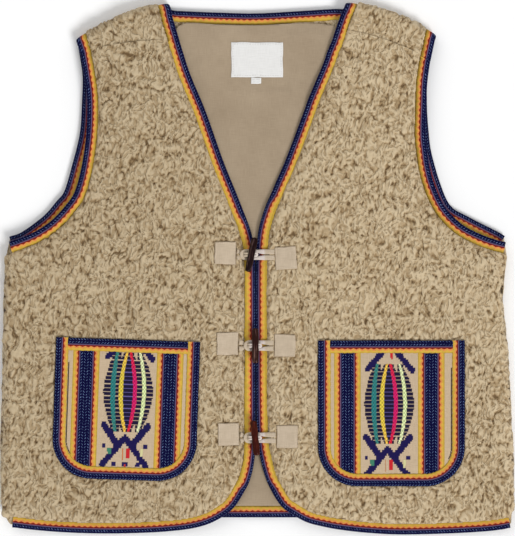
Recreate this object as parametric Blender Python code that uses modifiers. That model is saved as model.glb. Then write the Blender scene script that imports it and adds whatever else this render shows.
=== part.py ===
"""Fleece vest laid flat: ribbon-bound edges, patch pockets and three toggle closures.

Lengths in the tables are millimetres. +X is the garment's right as seen, +Y runs up to the neck and
+Z up from the surface that the back lies on. A path that bounds cloth has the cloth on its left.
"""

import math

import bmesh
import bpy
import numpy as np
from mathutils import Vector
from mathutils.geometry import delaunay_2d_cdt

MM = 0.001
GAP = 0.3

# Levels of the layers, from the surface up
BACK_THICK = 8.5
BACK_MIDDLE = 4.2
LINING_LOW = 8.8
LINING_THICK = 1.0
FRONT_LOW = 10.1
FRONT_THICK = 8.9
FRONT_EDGE_THICK = 5.5
BACK_EDGE_TOP = 7.0
FRONT_MIDDLE = 13.0

# Ribbon binding, folded round the thinned edge of the cloth
RIBBON_WIDTH = 12.0
RIBBON_WALL = 1.2
RIBBON_HALF = 2.6
TONGUE_START = 2.3
TONGUE_END = RIBBON_WIDTH + 0.5
TONGUE_HALF = RIBBON_HALF - RIBBON_WALL - GAP
PILE_START = 13.8
PILE_FULL = 40.0

# Rounded fleece at the side seams
SIDE_ROUND = 11.0
SIDE_EDGE = 1.1

# Shoulder turn-over: the back's cloth bends over a fold axis and comes down on the front
FOLD_RADIUS = (FRONT_MIDDLE - BACK_MIDDLE) / 2
FOLD_AXIS_Z = (FRONT_MIDDLE + BACK_MIDDLE) / 2
FOLD_ARC = math.pi * FOLD_RADIUS
SHOULDER_REACH = 8.3
SHOULDER_HALF = 3.9
SHOULDER_BOW = 6.5
BOW_FADE = 60.0

# Each shoulder: neck point and armhole point of the outline (x, y), and how far along the line
# between them the neck edge and the armhole edge cross it
SHOULDERS = {
    "left": ((-94.0, 293.5), (-200.8, 253.0), 4.0, 114.3),
    "right": ((97.4, 294.0), (198.0, 257.4), 0.5, 106.8),
}
FOLD_STATIONS = 6
SEAM_GAP = 0.7

# Left front's bound edge, hem end to forward shoulder seam (x, y)
FRONT_EDGE_LEFT = (
    (-270, -285.5), (-226, -290.4), (-173, -292.6), (-118, -291.5), (-81, -288.2),
    (-56.7, -282.7), (-39, -273.9), (-25.9, -263.5), (-14.9, -246.4), (-7.7, -228.8),
    (-3.9, -209), (-2.8, -184.8), (-2.8, -101), (-2.8, -15.4), (-4.4, 24.2), (-12.1, 52.8),
    (-22, 79.2), (-38, 118.8), (-56.7, 171.6), (-73.2, 211.2), (-82, 237.6), (-86.6, 253.2),
)
# Right front's bound edge, forward shoulder seam to hem end (x, y)
FRONT_EDGE_RIGHT = (
    (86.4, 264), (82, 250.8), (76.5, 237.6), (72, 224.4), (56.2, 187), (50.7, 171.6),
    (30.8, 118.8), (19.3, 92.4), (8.8, 66), (2.2, 44), (-0.6, 19.8), (-1.4, -15.4),
    (-1.2, -101), (-0.6, -167.2), (1.1, -194.7), (5, -214.5), (9.4, -229.9), (16, -246.4),
    (25.9, -261.8), (35.8, -269.5), (53.4, -279.4), (71, -284.4), (90.8, -288.2),
    (117.2, -291.5), (156.8, -293.7), (209.6, -292.6), (249, -289.9), (275, -283),
)
# Front armholes, left from the seam down and right from the side up (x, y)
FRONT_ARMHOLE_LEFT = (
    (-194.7, 235.4), (-190.9, 212.3), (-187.6, 185.9), (-188.4, 148.5), (-193.4, 112.2),
    (-200.8, 84.7), (-210.7, 69.3), (-226, 52.8), (-243.7, 40.7), (-261.3, 33), (-273.4, 29),
)
FRONT_ARMHOLE_RIGHT = (
    (273, 28.6), (261.3, 31.4), (244.8, 37.4), (226, 47.3), (210.7, 61.6), (201.3, 75.9),
    (193.6, 94.6), (189.2, 112.2), (186.5, 130.9), (185, 148.5), (186, 184.8), (186.8, 203.5),
    (189.2, 222.2), (190.9, 230.6),
)
# Sides, left from the armhole down and right from the hem up (x, y)
SIDE_LEFT = (
    (-276.7, 13.2), (-278.9, -24.2), (-280, -79.2), (-281, -145.2), (-282.6, -189.2),
    (-282.6, -242), (-280.5, -266),
)
SIDE_RIGHT = (
    (281.4, -262), (282.2, -224.4), (280, -178.2), (277.8, -136.4), (275.6, -92.4),
    (270, -39.6), (272.3, -2.2), (274.5, 13.2),
)
# Back armholes up to the fold axis, the neck and the hem (x, y)
BACK_ARMHOLE_LEFT = (
    (-196.8, 238.6), (-193, 212), (-193.5, 185), (-196, 148.5), (-204.8, 112),
    (-213, 84.7), (-220.6, 74.8), (-236, 57.2), (-260, 39.6), (-273.6, 34.7),
)
BACK_ARMHOLE_RIGHT = (
    (272.8, 35.2), (265.7, 39.6), (249, 47.9), (231, 57.2), (216, 65.5), (208.3, 75.9),
    (201, 94.6), (195.6, 112.2), (191, 130.9), (188.9, 148.5), (187, 176), (187.3, 212.3),
    (191.6, 240.6),
)
BACK_NECK = (
    (94.9, 285.5), (82, 285.6), (51.2, 283.6), (0, 280.8), (-41.3, 281.6), (-72, 282.8),
    (-84, 283.4), (-94.6, 283.7),
)
BACK_HEM = ((-271, -268.4), (-140, -274), (0, -275), (135, -274), (271, -268.4))

# The neck edge of each shoulder turn-over, from the seam up to below the fold axis (x, y)
SHOULDER_NECK_LEFT = ((-86.6, 253.2), (-90, 264.5), (-93, 275))
SHOULDER_NECK_RIGHT = ((86.4, 264), (91, 277.5))

# Lining outline, kept clear of the bindings and the shoulder turn-overs (x, y)
LINING = (
    (-268, -255), (-140, -260.8), (0, -261.8), (135, -260.8), (268, -255), (277, -200),
    (272, -92), (266, -39), (266, 18), (240, 36), (207, 52), (193, 72), (182, 106),
    (175, 148), (173.5, 212), (175, 233), (101, 255), (95, 253), (86, 266), (50, 269.5),
    (0, 267.2), (-41, 268), (-78, 269.5), (-90, 262), (-95, 249), (-180, 231), (-180, 212),
    (-180.5, 148), (-190, 110), (-200, 78), (-225, 50), (-250, 29), (-272, 10), (-276, -79),
    (-278, -200),
)

# Each pocket: centre x and y, width, height, turn in degrees
POCKETS = {
    "left": (-144.5, -155.5, 158.0, 154.0, -2.0),
    "right": (147.0, -159.5, 161.0, 160.0, 0.0),
}
POCKET_CORNER = 43.0
POCKET_RIBBON = 13.5
POCKET_THICK = 2.2
POCKET_TRIM_THICK = 3.0
# Section of the pocket ribbon, outer fold to inner edge: share of its width, share of its thickness
POCKET_SECTION = ((0, 0), (0, 0.7), (0.06, 1), (0.94, 1), (1, 0.8), (1, 0))

# Each closure: y, toggle x, toggle turn in degrees, left patch x and y, right patch x and y
CLOSURES = (
    (14.6, -6.7, -12.0, -35.6, 16.4, 31.1, 11.0),
    (-85.2, -2.4, 0.0, -32.9, -83.1, 30.1, -85.1),
    (-186.4, -2.6, 6.0, -31.7, -182.5, 32.5, -185.2),
)
PATCH_WIDTH = 23.0
PATCH_HEIGHT = 24.5
PATCH_THICK = 1.8
STRAND_HALF = 1.2
TOGGLE_LENGTH = 39.0
TOGGLE_RADIUS = 3.9
TOGGLE_Z = 22.8
SLOT = (12.0, 6.8, 3.2)

LABEL_BOX = (-29.0, 28.0, 210.0, 248.5)
TAB_BOX = (-7.2, 4.4, 202.8, 209.7)
LABEL_THICK = 0.8

# Middle of the finished outline (x, y), which becomes the origin
OUTLINE_MIDDLE = (-0.3, -0.75)

# Spacing of stations along edges and of the points inside a piece
STATION_STEP = 17.0
GRID_STEP = 36.0
SIDE_RINGS = (1.5, 5.0, SIDE_ROUND)
RING_CLEARANCE = 0.8
ROW_CLEARANCE = 3.0

# Rows of points across a shoulder: clear of its two ends, how many, and the first one's place
SHOULDER_ROW_ENDS = (24.0, 18.0)
SHOULDER_ROW_POINTS = 6
SHOULDER_ROW_FIRST = -12.0


def clear_scene():
    for thing in list(bpy.data.objects):
        bpy.data.objects.remove(thing)


def new_collection(name):
    collection = bpy.data.collections.new(name)
    bpy.context.scene.collection.children.link(collection)
    return collection


def new_material(name, colour, roughness):
    material = bpy.data.materials.new(name)
    material.use_nodes = True
    shader = material.node_tree.nodes["Principled BSDF"]
    shader.inputs["Base Color"].default_value = (*colour, 1.0)
    shader.inputs["Roughness"].default_value = roughness
    shader.inputs["Metallic"].default_value = 0.0
    return material


def add_object(name, mesh, material, collection):
    mesh.materials.append(material)
    piece = bpy.data.objects.new(name, mesh)
    collection.objects.link(piece)
    return piece


def smooth_path(points, step=STATION_STEP):
    """A Catmull-Rom curve through the points, read at even steps of its length."""
    points = np.array(points, float)
    ends = np.vstack([2 * points[0] - points[1], points, 2 * points[-1] - points[-2]])
    dense = []
    for a, b, c, d in zip(ends[:-3], ends[1:-2], ends[2:-1], ends[3:]):
        t = np.linspace(0, 1, 12, endpoint=False)[:, None]
        dense.append(0.5 * (2 * b + (c - a) * t + (2 * a - 5 * b + 4 * c - d) * t**2
                            + (3 * b - a - 3 * c + d) * t**3))
    dense = np.vstack(dense + [points[-1:]])
    length = np.concatenate([[0], np.cumsum(np.linalg.norm(np.diff(dense, axis=0), axis=1))])
    at = np.linspace(0, length[-1], max(2, round(length[-1] / step)) + 1)
    return np.stack([np.interp(at, length, dense[:, k]) for k in (0, 1)], axis=1)


def cloth_normals(path):
    """Mitred unit offsets to the left of the path, where its cloth is."""
    run = np.diff(path, axis=0)
    run /= np.linalg.norm(run, axis=1)[:, None]
    left = np.stack([-run[:, 1], run[:, 0]], axis=1)
    before = np.vstack([left[:1], left])
    after = np.vstack([left, left[-1:]])
    mean = before + after
    return 2 * mean / (mean * mean).sum(axis=1)[:, None]


def offset(path, distance):
    return path + cloth_normals(path) * distance


def nearest(points, path):
    """Distance of each point from the path, and the path station (a real number) it is nearest."""
    start, run = path[:-1], np.diff(path, axis=0)
    away = points[:, None] - start[None]
    share = np.clip((away * run).sum(2) / (run * run).sum(1), 0, 1)
    gaps = np.linalg.norm(away - share[..., None] * run, axis=2)
    best = gaps.argmin(axis=1)
    rows = np.arange(len(points))
    return gaps[rows, best], best + share[rows, best]


def inside(points, outline):
    """Which points lie inside the closed outline, by counting crossings."""
    x, y = points[:, :1], points[:, 1:]
    x0, y0 = outline[:, 0], outline[:, 1]
    x1, y1 = np.roll(x0, -1), np.roll(y0, -1)
    spans = (y0 > y) != (y1 > y)
    with np.errstate(divide="ignore", invalid="ignore"):
        cross = x < (x1 - x0) * (y - y0) / (y1 - y0) + x0
    return (spans & cross).sum(axis=1) % 2 == 1


def smoothstep(value):
    value = np.clip(value, 0, 1)
    return value * value * (3 - 2 * value)


def shoulder_frame(side):
    """Axis point, outward direction, run direction and length of a shoulder's fold."""
    neck, armhole = (np.array(point) for point in SHOULDERS[side][:2])
    run = armhole - neck
    length = np.linalg.norm(run)
    run = run / length
    out = np.array((run[1], -run[0]) if side == "left" else (-run[1], run[0]))
    return neck - SHOULDER_REACH * out, out, run, length


def bow(points):
    """The garment's gentle outward bow along each shoulder line, on front and back alike."""
    moved = np.array(points, float)
    for side in SHOULDERS:
        axis, out, run, length = shoulder_frame(side)
        away = points[:, :2] - axis
        along = np.clip(away @ run / length, 0, 1)
        near = smoothstep(1 - np.abs(away @ out) / BOW_FADE)
        moved[:, :2] += (SHOULDER_BOW * 4 * along * (1 - along) * near)[:, None] * out
    return moved


def place_front(flat, height):
    return bow(np.column_stack([flat, height]))


def place_back(flat, height):
    """Folds the back's pattern over both shoulder axes, then bows it."""
    flat = np.array(flat, float)
    height = np.broadcast_to(height, len(flat)).astype(float)
    points = np.column_stack([flat, height])
    for side in SHOULDERS:
        axis, out, _, _ = shoulder_frame(side)
        away = (flat - axis) @ out
        over = (away > 0) & ((flat[:, 0] < 0) == (side == "left"))
        turn = np.minimum(away / FOLD_RADIUS, math.pi)
        reach = FOLD_AXIS_Z - height
        past = np.maximum(away - FOLD_ARC, 0)
        foot = flat - away[:, None] * out
        folded = foot + (reach * np.sin(turn) - past)[:, None] * out
        points[over, :2] = folded[over]
        points[over, 2] = (FOLD_AXIS_Z - reach * np.cos(turn))[over]
    return bow(points)


def unfold(points, side):
    """The back pattern's own place of points that lie on the front of a shoulder."""
    points = np.array(points, float)
    axis, out, _, _ = shoulder_frame(side)
    inward = -(points - axis) @ out
    return points + (2 * inward + FOLD_ARC)[:, None] * out


def edge_middle(path):
    """Mid height of the front bindings: on the back at the centre, dropping past its hem."""
    return np.interp(path[:, 1], (-290.0, -287.5, -286.0, -276.0), (6.5, 9.8, 9.8, FRONT_MIDDLE))


def front_heights(flat, thin, edges, side):
    """Underside and top of a front, thin inside its bindings and rounded at its side."""
    gap = np.full(len(flat), np.inf)
    middle = np.zeros(len(flat))
    for path, heights in edges:
        found, station = nearest(flat, path)
        level = np.interp(station, np.arange(len(path)), heights)
        middle = np.where(found < gap, level, middle)
        gap = np.minimum(gap, found)
    rise = np.clip((gap - PILE_START) / (PILE_FULL - PILE_START), 0, 1)
    thick = FRONT_EDGE_THICK + (FRONT_THICK - FRONT_EDGE_THICK) * rise
    inward = np.minimum(nearest(flat, side)[0] / SIDE_ROUND, 1)
    thick = SIDE_EDGE + (thick - SIDE_EDGE) * np.sqrt(1 - (1 - inward) ** 2)
    low = np.where(thin, middle - TONGUE_HALF, FRONT_LOW)
    return low, np.where(thin, middle + TONGUE_HALF, FRONT_LOW + thick)


def back_heights(flat, thin, edges, sides):
    """Underside and top of the back's pattern before it is folded."""
    gap = np.min([nearest(flat, path)[0] for path in edges], axis=0)
    rise = np.clip((gap - PILE_START) / (PILE_FULL - PILE_START), 0, 1)
    high = BACK_EDGE_TOP + (BACK_THICK - BACK_EDGE_TOP) * rise
    inward = np.min([nearest(flat, path)[0] for path in sides], axis=0) / SIDE_ROUND
    inward = np.minimum(inward, 1)
    low = (BACK_THICK - SIDE_EDGE) * (1 - np.sqrt(1 - (1 - inward) ** 2))
    high = np.maximum(high, low + SIDE_EDGE)
    for side in SHOULDERS:
        axis, out, _, _ = shoulder_frame(side)
        over = ((flat - axis) @ out > -SHOULDER_HALF) & ((flat[:, 0] < 0) == (side == "left"))
        low = np.where(over, BACK_MIDDLE - SHOULDER_HALF, low)
        high = np.where(over, np.minimum(high, BACK_MIDDLE + SHOULDER_HALF), high)
    return (np.where(thin, BACK_MIDDLE - TONGUE_HALF, low),
            np.where(thin, BACK_MIDDLE + TONGUE_HALF, high))


def bound_outline(pieces, bound):
    """The outline through bound edges and sides in turn, and which of its points are thin.

    A bound edge reaches its outline as a thin tongue, and its cloth thickens past both its ends.
    """
    points, thin = [], []
    for path, is_bound in zip(pieces, bound):
        if not is_bound:
            points.append(path)
            thin += [False] * len(path)
            continue
        ends = [offset(path, distance) for distance in (PILE_START, TONGUE_END)]
        points += [ends[0][:1], ends[1][:1], offset(path, TONGUE_START), ends[1][-1:], ends[0][-1:]]
        thin += [False, True] + [True] * len(path) + [True, False]
    return np.vstack(points), np.array(thin)


def pattern_points(outline, thin, edges=(), sides=(), more=()):
    """Points of a piece: outline, rings inside its edges and sides, and an even grid.

    It also gives the lines to keep: the outline, and the rings that part thin cloth from thick.
    """
    closed = np.vstack([outline, outline[:1]])
    points, flags = [outline], [thin]
    lines = [(k, (k + 1) % len(outline)) for k in range(len(outline))]
    rings = [(path, distance) for path in edges
             for distance in (TONGUE_END, PILE_START, PILE_FULL)]
    rings += [(path, distance) for path in sides for distance in SIDE_RINGS]
    for path, distance in rings:
        ring = offset(path, distance)[1:-1]
        is_side = any(path is side for side in sides)
        clear = PILE_START + RING_CLEARANCE if is_side else distance - 0.1
        kept = inside(ring, outline) & (nearest(ring, closed)[0] > RING_CLEARANCE)
        for edge in edges:
            kept &= nearest(ring, edge)[0] > clear
        if distance in (TONGUE_END, PILE_START):
            number = sum(map(len, points)) + np.cumsum(kept) - 1
            lines += [(int(number[k]), int(number[k + 1])) for k in range(len(ring) - 1)
                      if kept[k] and kept[k + 1]]
        points.append(ring[kept])
        flags.append(np.full(kept.sum(), distance == TONGUE_END))
    low, high = outline.min(axis=0), outline.max(axis=0)
    columns = np.arange(low[0] + GRID_STEP / 2, high[0], GRID_STEP)
    rows = np.arange(low[1] + GRID_STEP / 2, high[1], GRID_STEP)
    grid = np.stack(np.meshgrid(columns, rows), axis=-1).reshape(-1, 2)
    for extra, space in ((np.array(more), ROW_CLEARANCE), (grid, GRID_STEP / 2)):
        if len(extra):
            placed = np.vstack(points)
            far = np.linalg.norm(extra[:, None] - placed[None], axis=2).min(axis=1) > space
            kept = extra[inside(extra, outline) & far]
            points.append(kept)
            flags.append(np.full(len(kept), False))
    return np.vstack(points), np.concatenate(flags), lines


def cloth_mesh(name, outline, pattern, heights, place):
    """A closed sheet on the outline: its underside triangulated, extruded and set to its top."""
    points, thin, lines = pattern
    corners = [Vector(point) for point in points]
    border = [list(range(len(outline)))]
    flat, _, faces, origin, _, _ = delaunay_2d_cdt(corners, lines, border, 1, 0.01)
    flat = np.array([tuple(point) for point in flat])
    low, high = heights(flat, np.array([bool(first) and thin[first[0]] for first in origin]))
    bm = bmesh.new()
    source = bm.verts.layers.int.new("pattern_point")
    for k, point in enumerate(place(flat, low)):
        bm.verts.new(point * MM)[source] = k
    bm.verts.ensure_lookup_table()
    for face in faces:
        bm.faces.new([bm.verts[k] for k in face])
    made = bmesh.ops.extrude_face_region(bm, geom=bm.faces[:])
    tops = place(flat, high)
    for vert in made["geom"]:
        if isinstance(vert, bmesh.types.BMVert):
            vert.co = tops[vert[source]] * MM
    bmesh.ops.recalc_face_normals(bm, faces=bm.faces[:])
    mesh = bpy.data.meshes.new(name)
    bm.to_mesh(mesh)
    bm.free()
    return mesh


def loft_mesh(name, rings):
    """A closed tube through rings of equal count, with flat ends."""
    bm = bmesh.new()
    loops = [[bm.verts.new(Vector(point) * MM) for point in ring] for ring in rings]
    count = len(loops[0])
    for here, there in zip(loops[:-1], loops[1:]):
        for k in range(count):
            m = (k + 1) % count
            bm.faces.new((here[k], here[m], there[m], there[k]))
    bm.faces.new(loops[0][::-1])
    bm.faces.new(loops[-1])
    bmesh.ops.recalc_face_normals(bm, faces=bm.faces[:])
    mesh = bpy.data.meshes.new(name)
    bm.to_mesh(mesh)
    bm.free()
    return mesh


# The ribbon's section: distance in from the folded edge, height over the cloth's middle
RIBBON_SECTION = (
    (RIBBON_WIDTH, RIBBON_HALF), (1.4, RIBBON_HALF), (0.0, 1.1), (0.0, -1.1),
    (1.4, -RIBBON_HALF), (RIBBON_WIDTH, -RIBBON_HALF),
    (RIBBON_WIDTH, RIBBON_WALL - RIBBON_HALF), (TONGUE_START - GAP, RIBBON_WALL - RIBBON_HALF),
    (TONGUE_START - GAP, RIBBON_HALF - RIBBON_WALL), (RIBBON_WIDTH, RIBBON_HALF - RIBBON_WALL),
)


def ribbon_rings(path, middles, place, flip=1):
    """The ribbon's section at each station of the edge that it binds."""
    normals = cloth_normals(path)
    middles = np.broadcast_to(middles, len(path))
    inward = np.array([row[0] for row in RIBBON_SECTION])
    over = np.array([row[1] for row in RIBBON_SECTION]) * flip
    return [place(point + inward[:, None] * normal, middle + over)
            for point, normal, middle in zip(path, normals, middles)]


def shorten(path, start=0.0, end=0.0):
    """The path with its ends drawn back along it."""
    path = path.copy()
    path[0] += start * (path[1] - path[0]) / np.linalg.norm(path[1] - path[0])
    path[-1] += end * (path[-2] - path[-1]) / np.linalg.norm(path[-2] - path[-1])
    return path


def over_fold(side, along):
    """Stations of an edge that crosses a shoulder's fold squarely, on the back's pattern."""
    axis, out, run, _ = shoulder_frame(side)
    away = np.linspace(0, FOLD_ARC, FOLD_STATIONS)
    return axis + along * run + away[:, None] * out


def garment_paths():
    """Every bound edge as even stations: fronts on the front, the back on its own pattern."""
    paths = {
        "front_left": smooth_path(FRONT_EDGE_LEFT),
        "front_right": smooth_path(FRONT_EDGE_RIGHT),
        "armhole_left": smooth_path(FRONT_ARMHOLE_LEFT),
        "armhole_right": smooth_path(FRONT_ARMHOLE_RIGHT),
        "back_hem": smooth_path(BACK_HEM, 2 * STATION_STEP),
    }
    _, _, neck_left, arm_left = SHOULDERS["left"]
    _, _, neck_right, arm_right = SHOULDERS["right"]
    paths["back_armhole_left"] = shorten(np.vstack([
        unfold(FRONT_ARMHOLE_LEFT[:1], "left"), over_fold("left", arm_left)[::-1],
        smooth_path(BACK_ARMHOLE_LEFT)]), start=SEAM_GAP)
    paths["back_armhole_right"] = shorten(np.vstack([
        smooth_path(BACK_ARMHOLE_RIGHT), over_fold("right", arm_right),
        unfold(FRONT_ARMHOLE_RIGHT[-1:], "right")]), end=SEAM_GAP)
    paths["neck"] = shorten(np.vstack([
        unfold(SHOULDER_NECK_RIGHT, "right"), over_fold("right", neck_right)[::-1],
        smooth_path(BACK_NECK), over_fold("left", neck_left),
        unfold(SHOULDER_NECK_LEFT[::-1], "left")]), SEAM_GAP, SEAM_GAP)
    return paths


def build_fronts(paths, materials, parts):
    """Each front as one sheet, its tongues reaching into the bindings all round."""
    for side in SHOULDERS:
        edge, armhole = paths["front_" + side], paths["armhole_" + side]
        flank = smooth_path(SIDE_LEFT if side == "left" else SIDE_RIGHT, 2 * STATION_STEP)
        if side == "left":
            outline, thin = bound_outline((edge, armhole, flank), (True, True, False))
        else:
            outline, thin = bound_outline((edge, flank, armhole), (True, False, True))
        edges = ((edge, edge_middle(edge)), (armhole, np.full(len(armhole), FRONT_MIDDLE)))
        pattern = pattern_points(outline, thin, (edge, armhole), (flank,))

        def heights(flat, thin, edges=edges, flank=flank):
            return front_heights(flat, thin, edges, flank)

        mesh = cloth_mesh("front_" + side, outline, pattern, heights, place_front)
        add_object("front_" + side, mesh, materials["fleece"], parts)
        rings = ribbon_rings(edge, edge_middle(edge), place_front)
        mesh = loft_mesh("front_binding_" + side, rings)
        add_object("front_binding_" + side, mesh, materials["ribbon"], parts)


def build_back(paths, materials, parts):
    """The back's pattern, cut in one with its shoulder turn-overs, and its bindings."""
    left_side = smooth_path(SIDE_LEFT[:-1], 2 * STATION_STEP)
    right_side = smooth_path(SIDE_RIGHT[1:], 2 * STATION_STEP)
    edges = [paths[name] for name in ("back_hem", "back_armhole_right", "neck",
                                      "back_armhole_left")]
    pieces = (edges[0], right_side, *edges[1:], left_side)
    outline, thin = bound_outline(pieces, (True, False, True, True, True, False))
    sides = (left_side, right_side)
    pattern = pattern_points(outline, thin, edges, sides, shoulder_rows())

    def heights(flat, thin):
        return back_heights(flat, thin, edges, sides)

    mesh = cloth_mesh("back_panel", outline, pattern, heights, place_back)
    add_object("back_panel", mesh, materials["fleece"], parts)
    rings = ribbon_rings(paths["neck"], BACK_MIDDLE, place_back)
    add_object("neck_binding", loft_mesh("neck_binding", rings), materials["ribbon"], parts)
    rings = ribbon_rings(paths["back_hem"], BACK_MIDDLE, place_back)
    add_object("back_hem_binding", loft_mesh("back_hem_binding", rings), materials["ribbon"], parts)
    for side in SHOULDERS:
        back = ribbon_rings(paths["back_armhole_" + side], BACK_MIDDLE, place_back)
        front = ribbon_rings(paths["armhole_" + side], FRONT_MIDDLE, place_front, flip=-1)
        if side == "left":
            back = back[::-1]
        else:
            front = front[::-1]
        mesh = loft_mesh("armhole_binding_" + side, back + front[1:])
        add_object("armhole_binding_" + side, mesh, materials["ribbon"], parts)


def shoulder_rows():
    """Rows of pattern points across each shoulder, close enough to bend round its fold."""
    rows = []
    for side in SHOULDERS:
        axis, out, run, length = shoulder_frame(side)
        start, end = SHOULDER_ROW_ENDS
        along = np.linspace(start, length - end, SHOULDER_ROW_POINTS)[:, None] * run
        away_rows = (SHOULDER_ROW_FIRST, -SHOULDER_HALF - 0.2, *np.linspace(0, FOLD_ARC, FOLD_STATIONS))
        rows += [axis + along + away * out for away in away_rows]
    return np.vstack(rows)


def level_sheet(name, outline, low, thick, material, parts):
    """A flat sheet of even thickness on its outline."""
    def heights(flat, _):
        return np.full(len(flat), low), np.full(len(flat), low + thick)

    pattern = pattern_points(outline, np.full(len(outline), False))
    mesh = cloth_mesh(name, outline, pattern, heights, place_front)
    add_object(name, mesh, material, parts)


def build_lining(materials, parts):
    outline = smooth_path(LINING + LINING[:1], 24.0)[:-1]
    level_sheet("back_lining", outline, LINING_LOW, LINING_THICK, materials["lining"], parts)


def flat_box(name, box, low, high, material, parts):
    """A rectangle of cloth of even thickness, its box given as low x, high x, low y, high y."""
    bm = bmesh.new()
    bmesh.ops.create_cube(bm, size=1.0)
    for vert in bm.verts:
        vert.co = Vector((
            np.interp(vert.co.x, (-0.5, 0.5), box[:2]),
            np.interp(vert.co.y, (-0.5, 0.5), box[2:]),
            np.interp(vert.co.z, (-0.5, 0.5), (low, high)),
        )) * MM
    mesh = bpy.data.meshes.new(name)
    bm.to_mesh(mesh)
    bm.free()
    add_object(name, mesh, material, parts)


def turned(points, centre, degrees):
    """Points given about a centre, turned about it."""
    angle = math.radians(degrees)
    across = np.array((math.cos(angle), math.sin(angle)))
    up = np.array((-across[1], across[0]))
    points = np.array(points, float)
    return np.array(centre) + points[:, :1] * across + points[:, 1:] * up


def pocket_edge(width, height, inset=0.0):
    """Left top corner, down, round the bottom and up: half widths inside the inset."""
    right, low, high = width / 2 - inset, -height / 2 + inset, height / 2
    radius = POCKET_CORNER - inset
    points = [(-right, high), (-right, 0.0)]
    for corner, start in ((-right + radius, 180), (right - radius, 270)):
        for degrees in range(start, start + 91, 18):
            angle = math.radians(degrees)
            points.append((corner + radius * math.cos(angle), low + radius * (1 + math.sin(angle))))
    return np.array(points + [(right, 0.0), (right, high)])


def build_pockets(materials, parts):
    """Patterned pocket panels inside a ribbon round three sides and a ribbon band on top."""
    low = FRONT_LOW + FRONT_THICK + GAP
    for side, (x, y, width, height, turn) in POCKETS.items():
        edge = pocket_edge(width, height)
        inner = pocket_edge(width, height, POCKET_RIBBON)
        section = [(share, low + level * POCKET_TRIM_THICK) for share, level in POCKET_SECTION]
        rings = [[(*turned([a + share * (b - a)], (x, y), turn)[0], level)
                  for share, level in section] for a, b in zip(edge, inner)]
        mesh = loft_mesh("pocket_trim_" + side, rings)
        add_object("pocket_trim_" + side, mesh, materials["ribbon"], parts)

        half, crest = width / 2 - POCKET_RIBBON - GAP, height / 2
        band = [[(*turned([(across, crest - POCKET_RIBBON * share)], (x, y), turn)[0], level)
                 for share, level in section] for across in np.linspace(-half, half, 7)]
        mesh = loft_mesh("pocket_band_" + side, band)
        add_object("pocket_band_" + side, mesh, materials["ribbon"], parts)

        outline = pocket_edge(width, height, POCKET_RIBBON + GAP)
        outline[[0, -1], 1] = crest - POCKET_RIBBON - GAP
        outline = turned(outline, (x, y), turn)

        level_sheet("pocket_" + side, outline, low, POCKET_THICK, materials["pattern"], parts)


def pile_top(x):
    """Top of either front beside the centre edge, at a distance x from it."""
    rise = min(max((x - PILE_START) / (PILE_FULL - PILE_START), 0), 1)
    return FRONT_LOW + FRONT_EDGE_THICK + (FRONT_THICK - FRONT_EDGE_THICK) * rise


def strand_section(here, there, half_width, half_thick):
    """A flattened hexagon across a strand's run, level from side to side."""
    run = (there - here).normalized()
    side = Vector((-run.y, run.x, 0)).normalized() * half_width
    up = run.cross(side).normalized() * half_thick
    centre = (here + there) / 2
    return [centre + side * a + up * b for a, b in
            ((-1, 0), (-0.62, 1), (0.62, 1), (1, 0), (0.62, -1), (-0.62, -1))]


def loop_mesh(name, strand, centre, mirror):
    """Two strands and the bend that joins them, from one strand's rows (x, y, z, half width)."""
    outward = [Vector((x, centre + y, z)) for x, y, z, _ in strand]
    home = [Vector((x, centre - y, z)) for x, y, z, _ in reversed(strand)]
    widths = [row[3] for row in strand] + [row[3] for row in reversed(strand)]
    turn = [Vector(strand[-1][:3]) + Vector((mirror * 0.8 * strand[-1][1] * math.sin(angle),
            centre + strand[-1][1] * (math.cos(angle) - 1), 0))
            for angle in (math.pi * k / 5 for k in range(1, 5))]
    route = outward + turn + home
    widths = widths[:len(strand)] + [strand[-1][3]] * len(turn) + widths[len(strand):]
    rings = []
    for k, (point, width) in enumerate(zip(route, widths)):
        before = route[max(k - 1, 0)]
        after = route[min(k + 1, len(route) - 1)]
        run = (after - before) / 2
        rings.append(strand_section(point - run, point + run, width, STRAND_HALF))
    return loft_mesh(name, rings)


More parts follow.
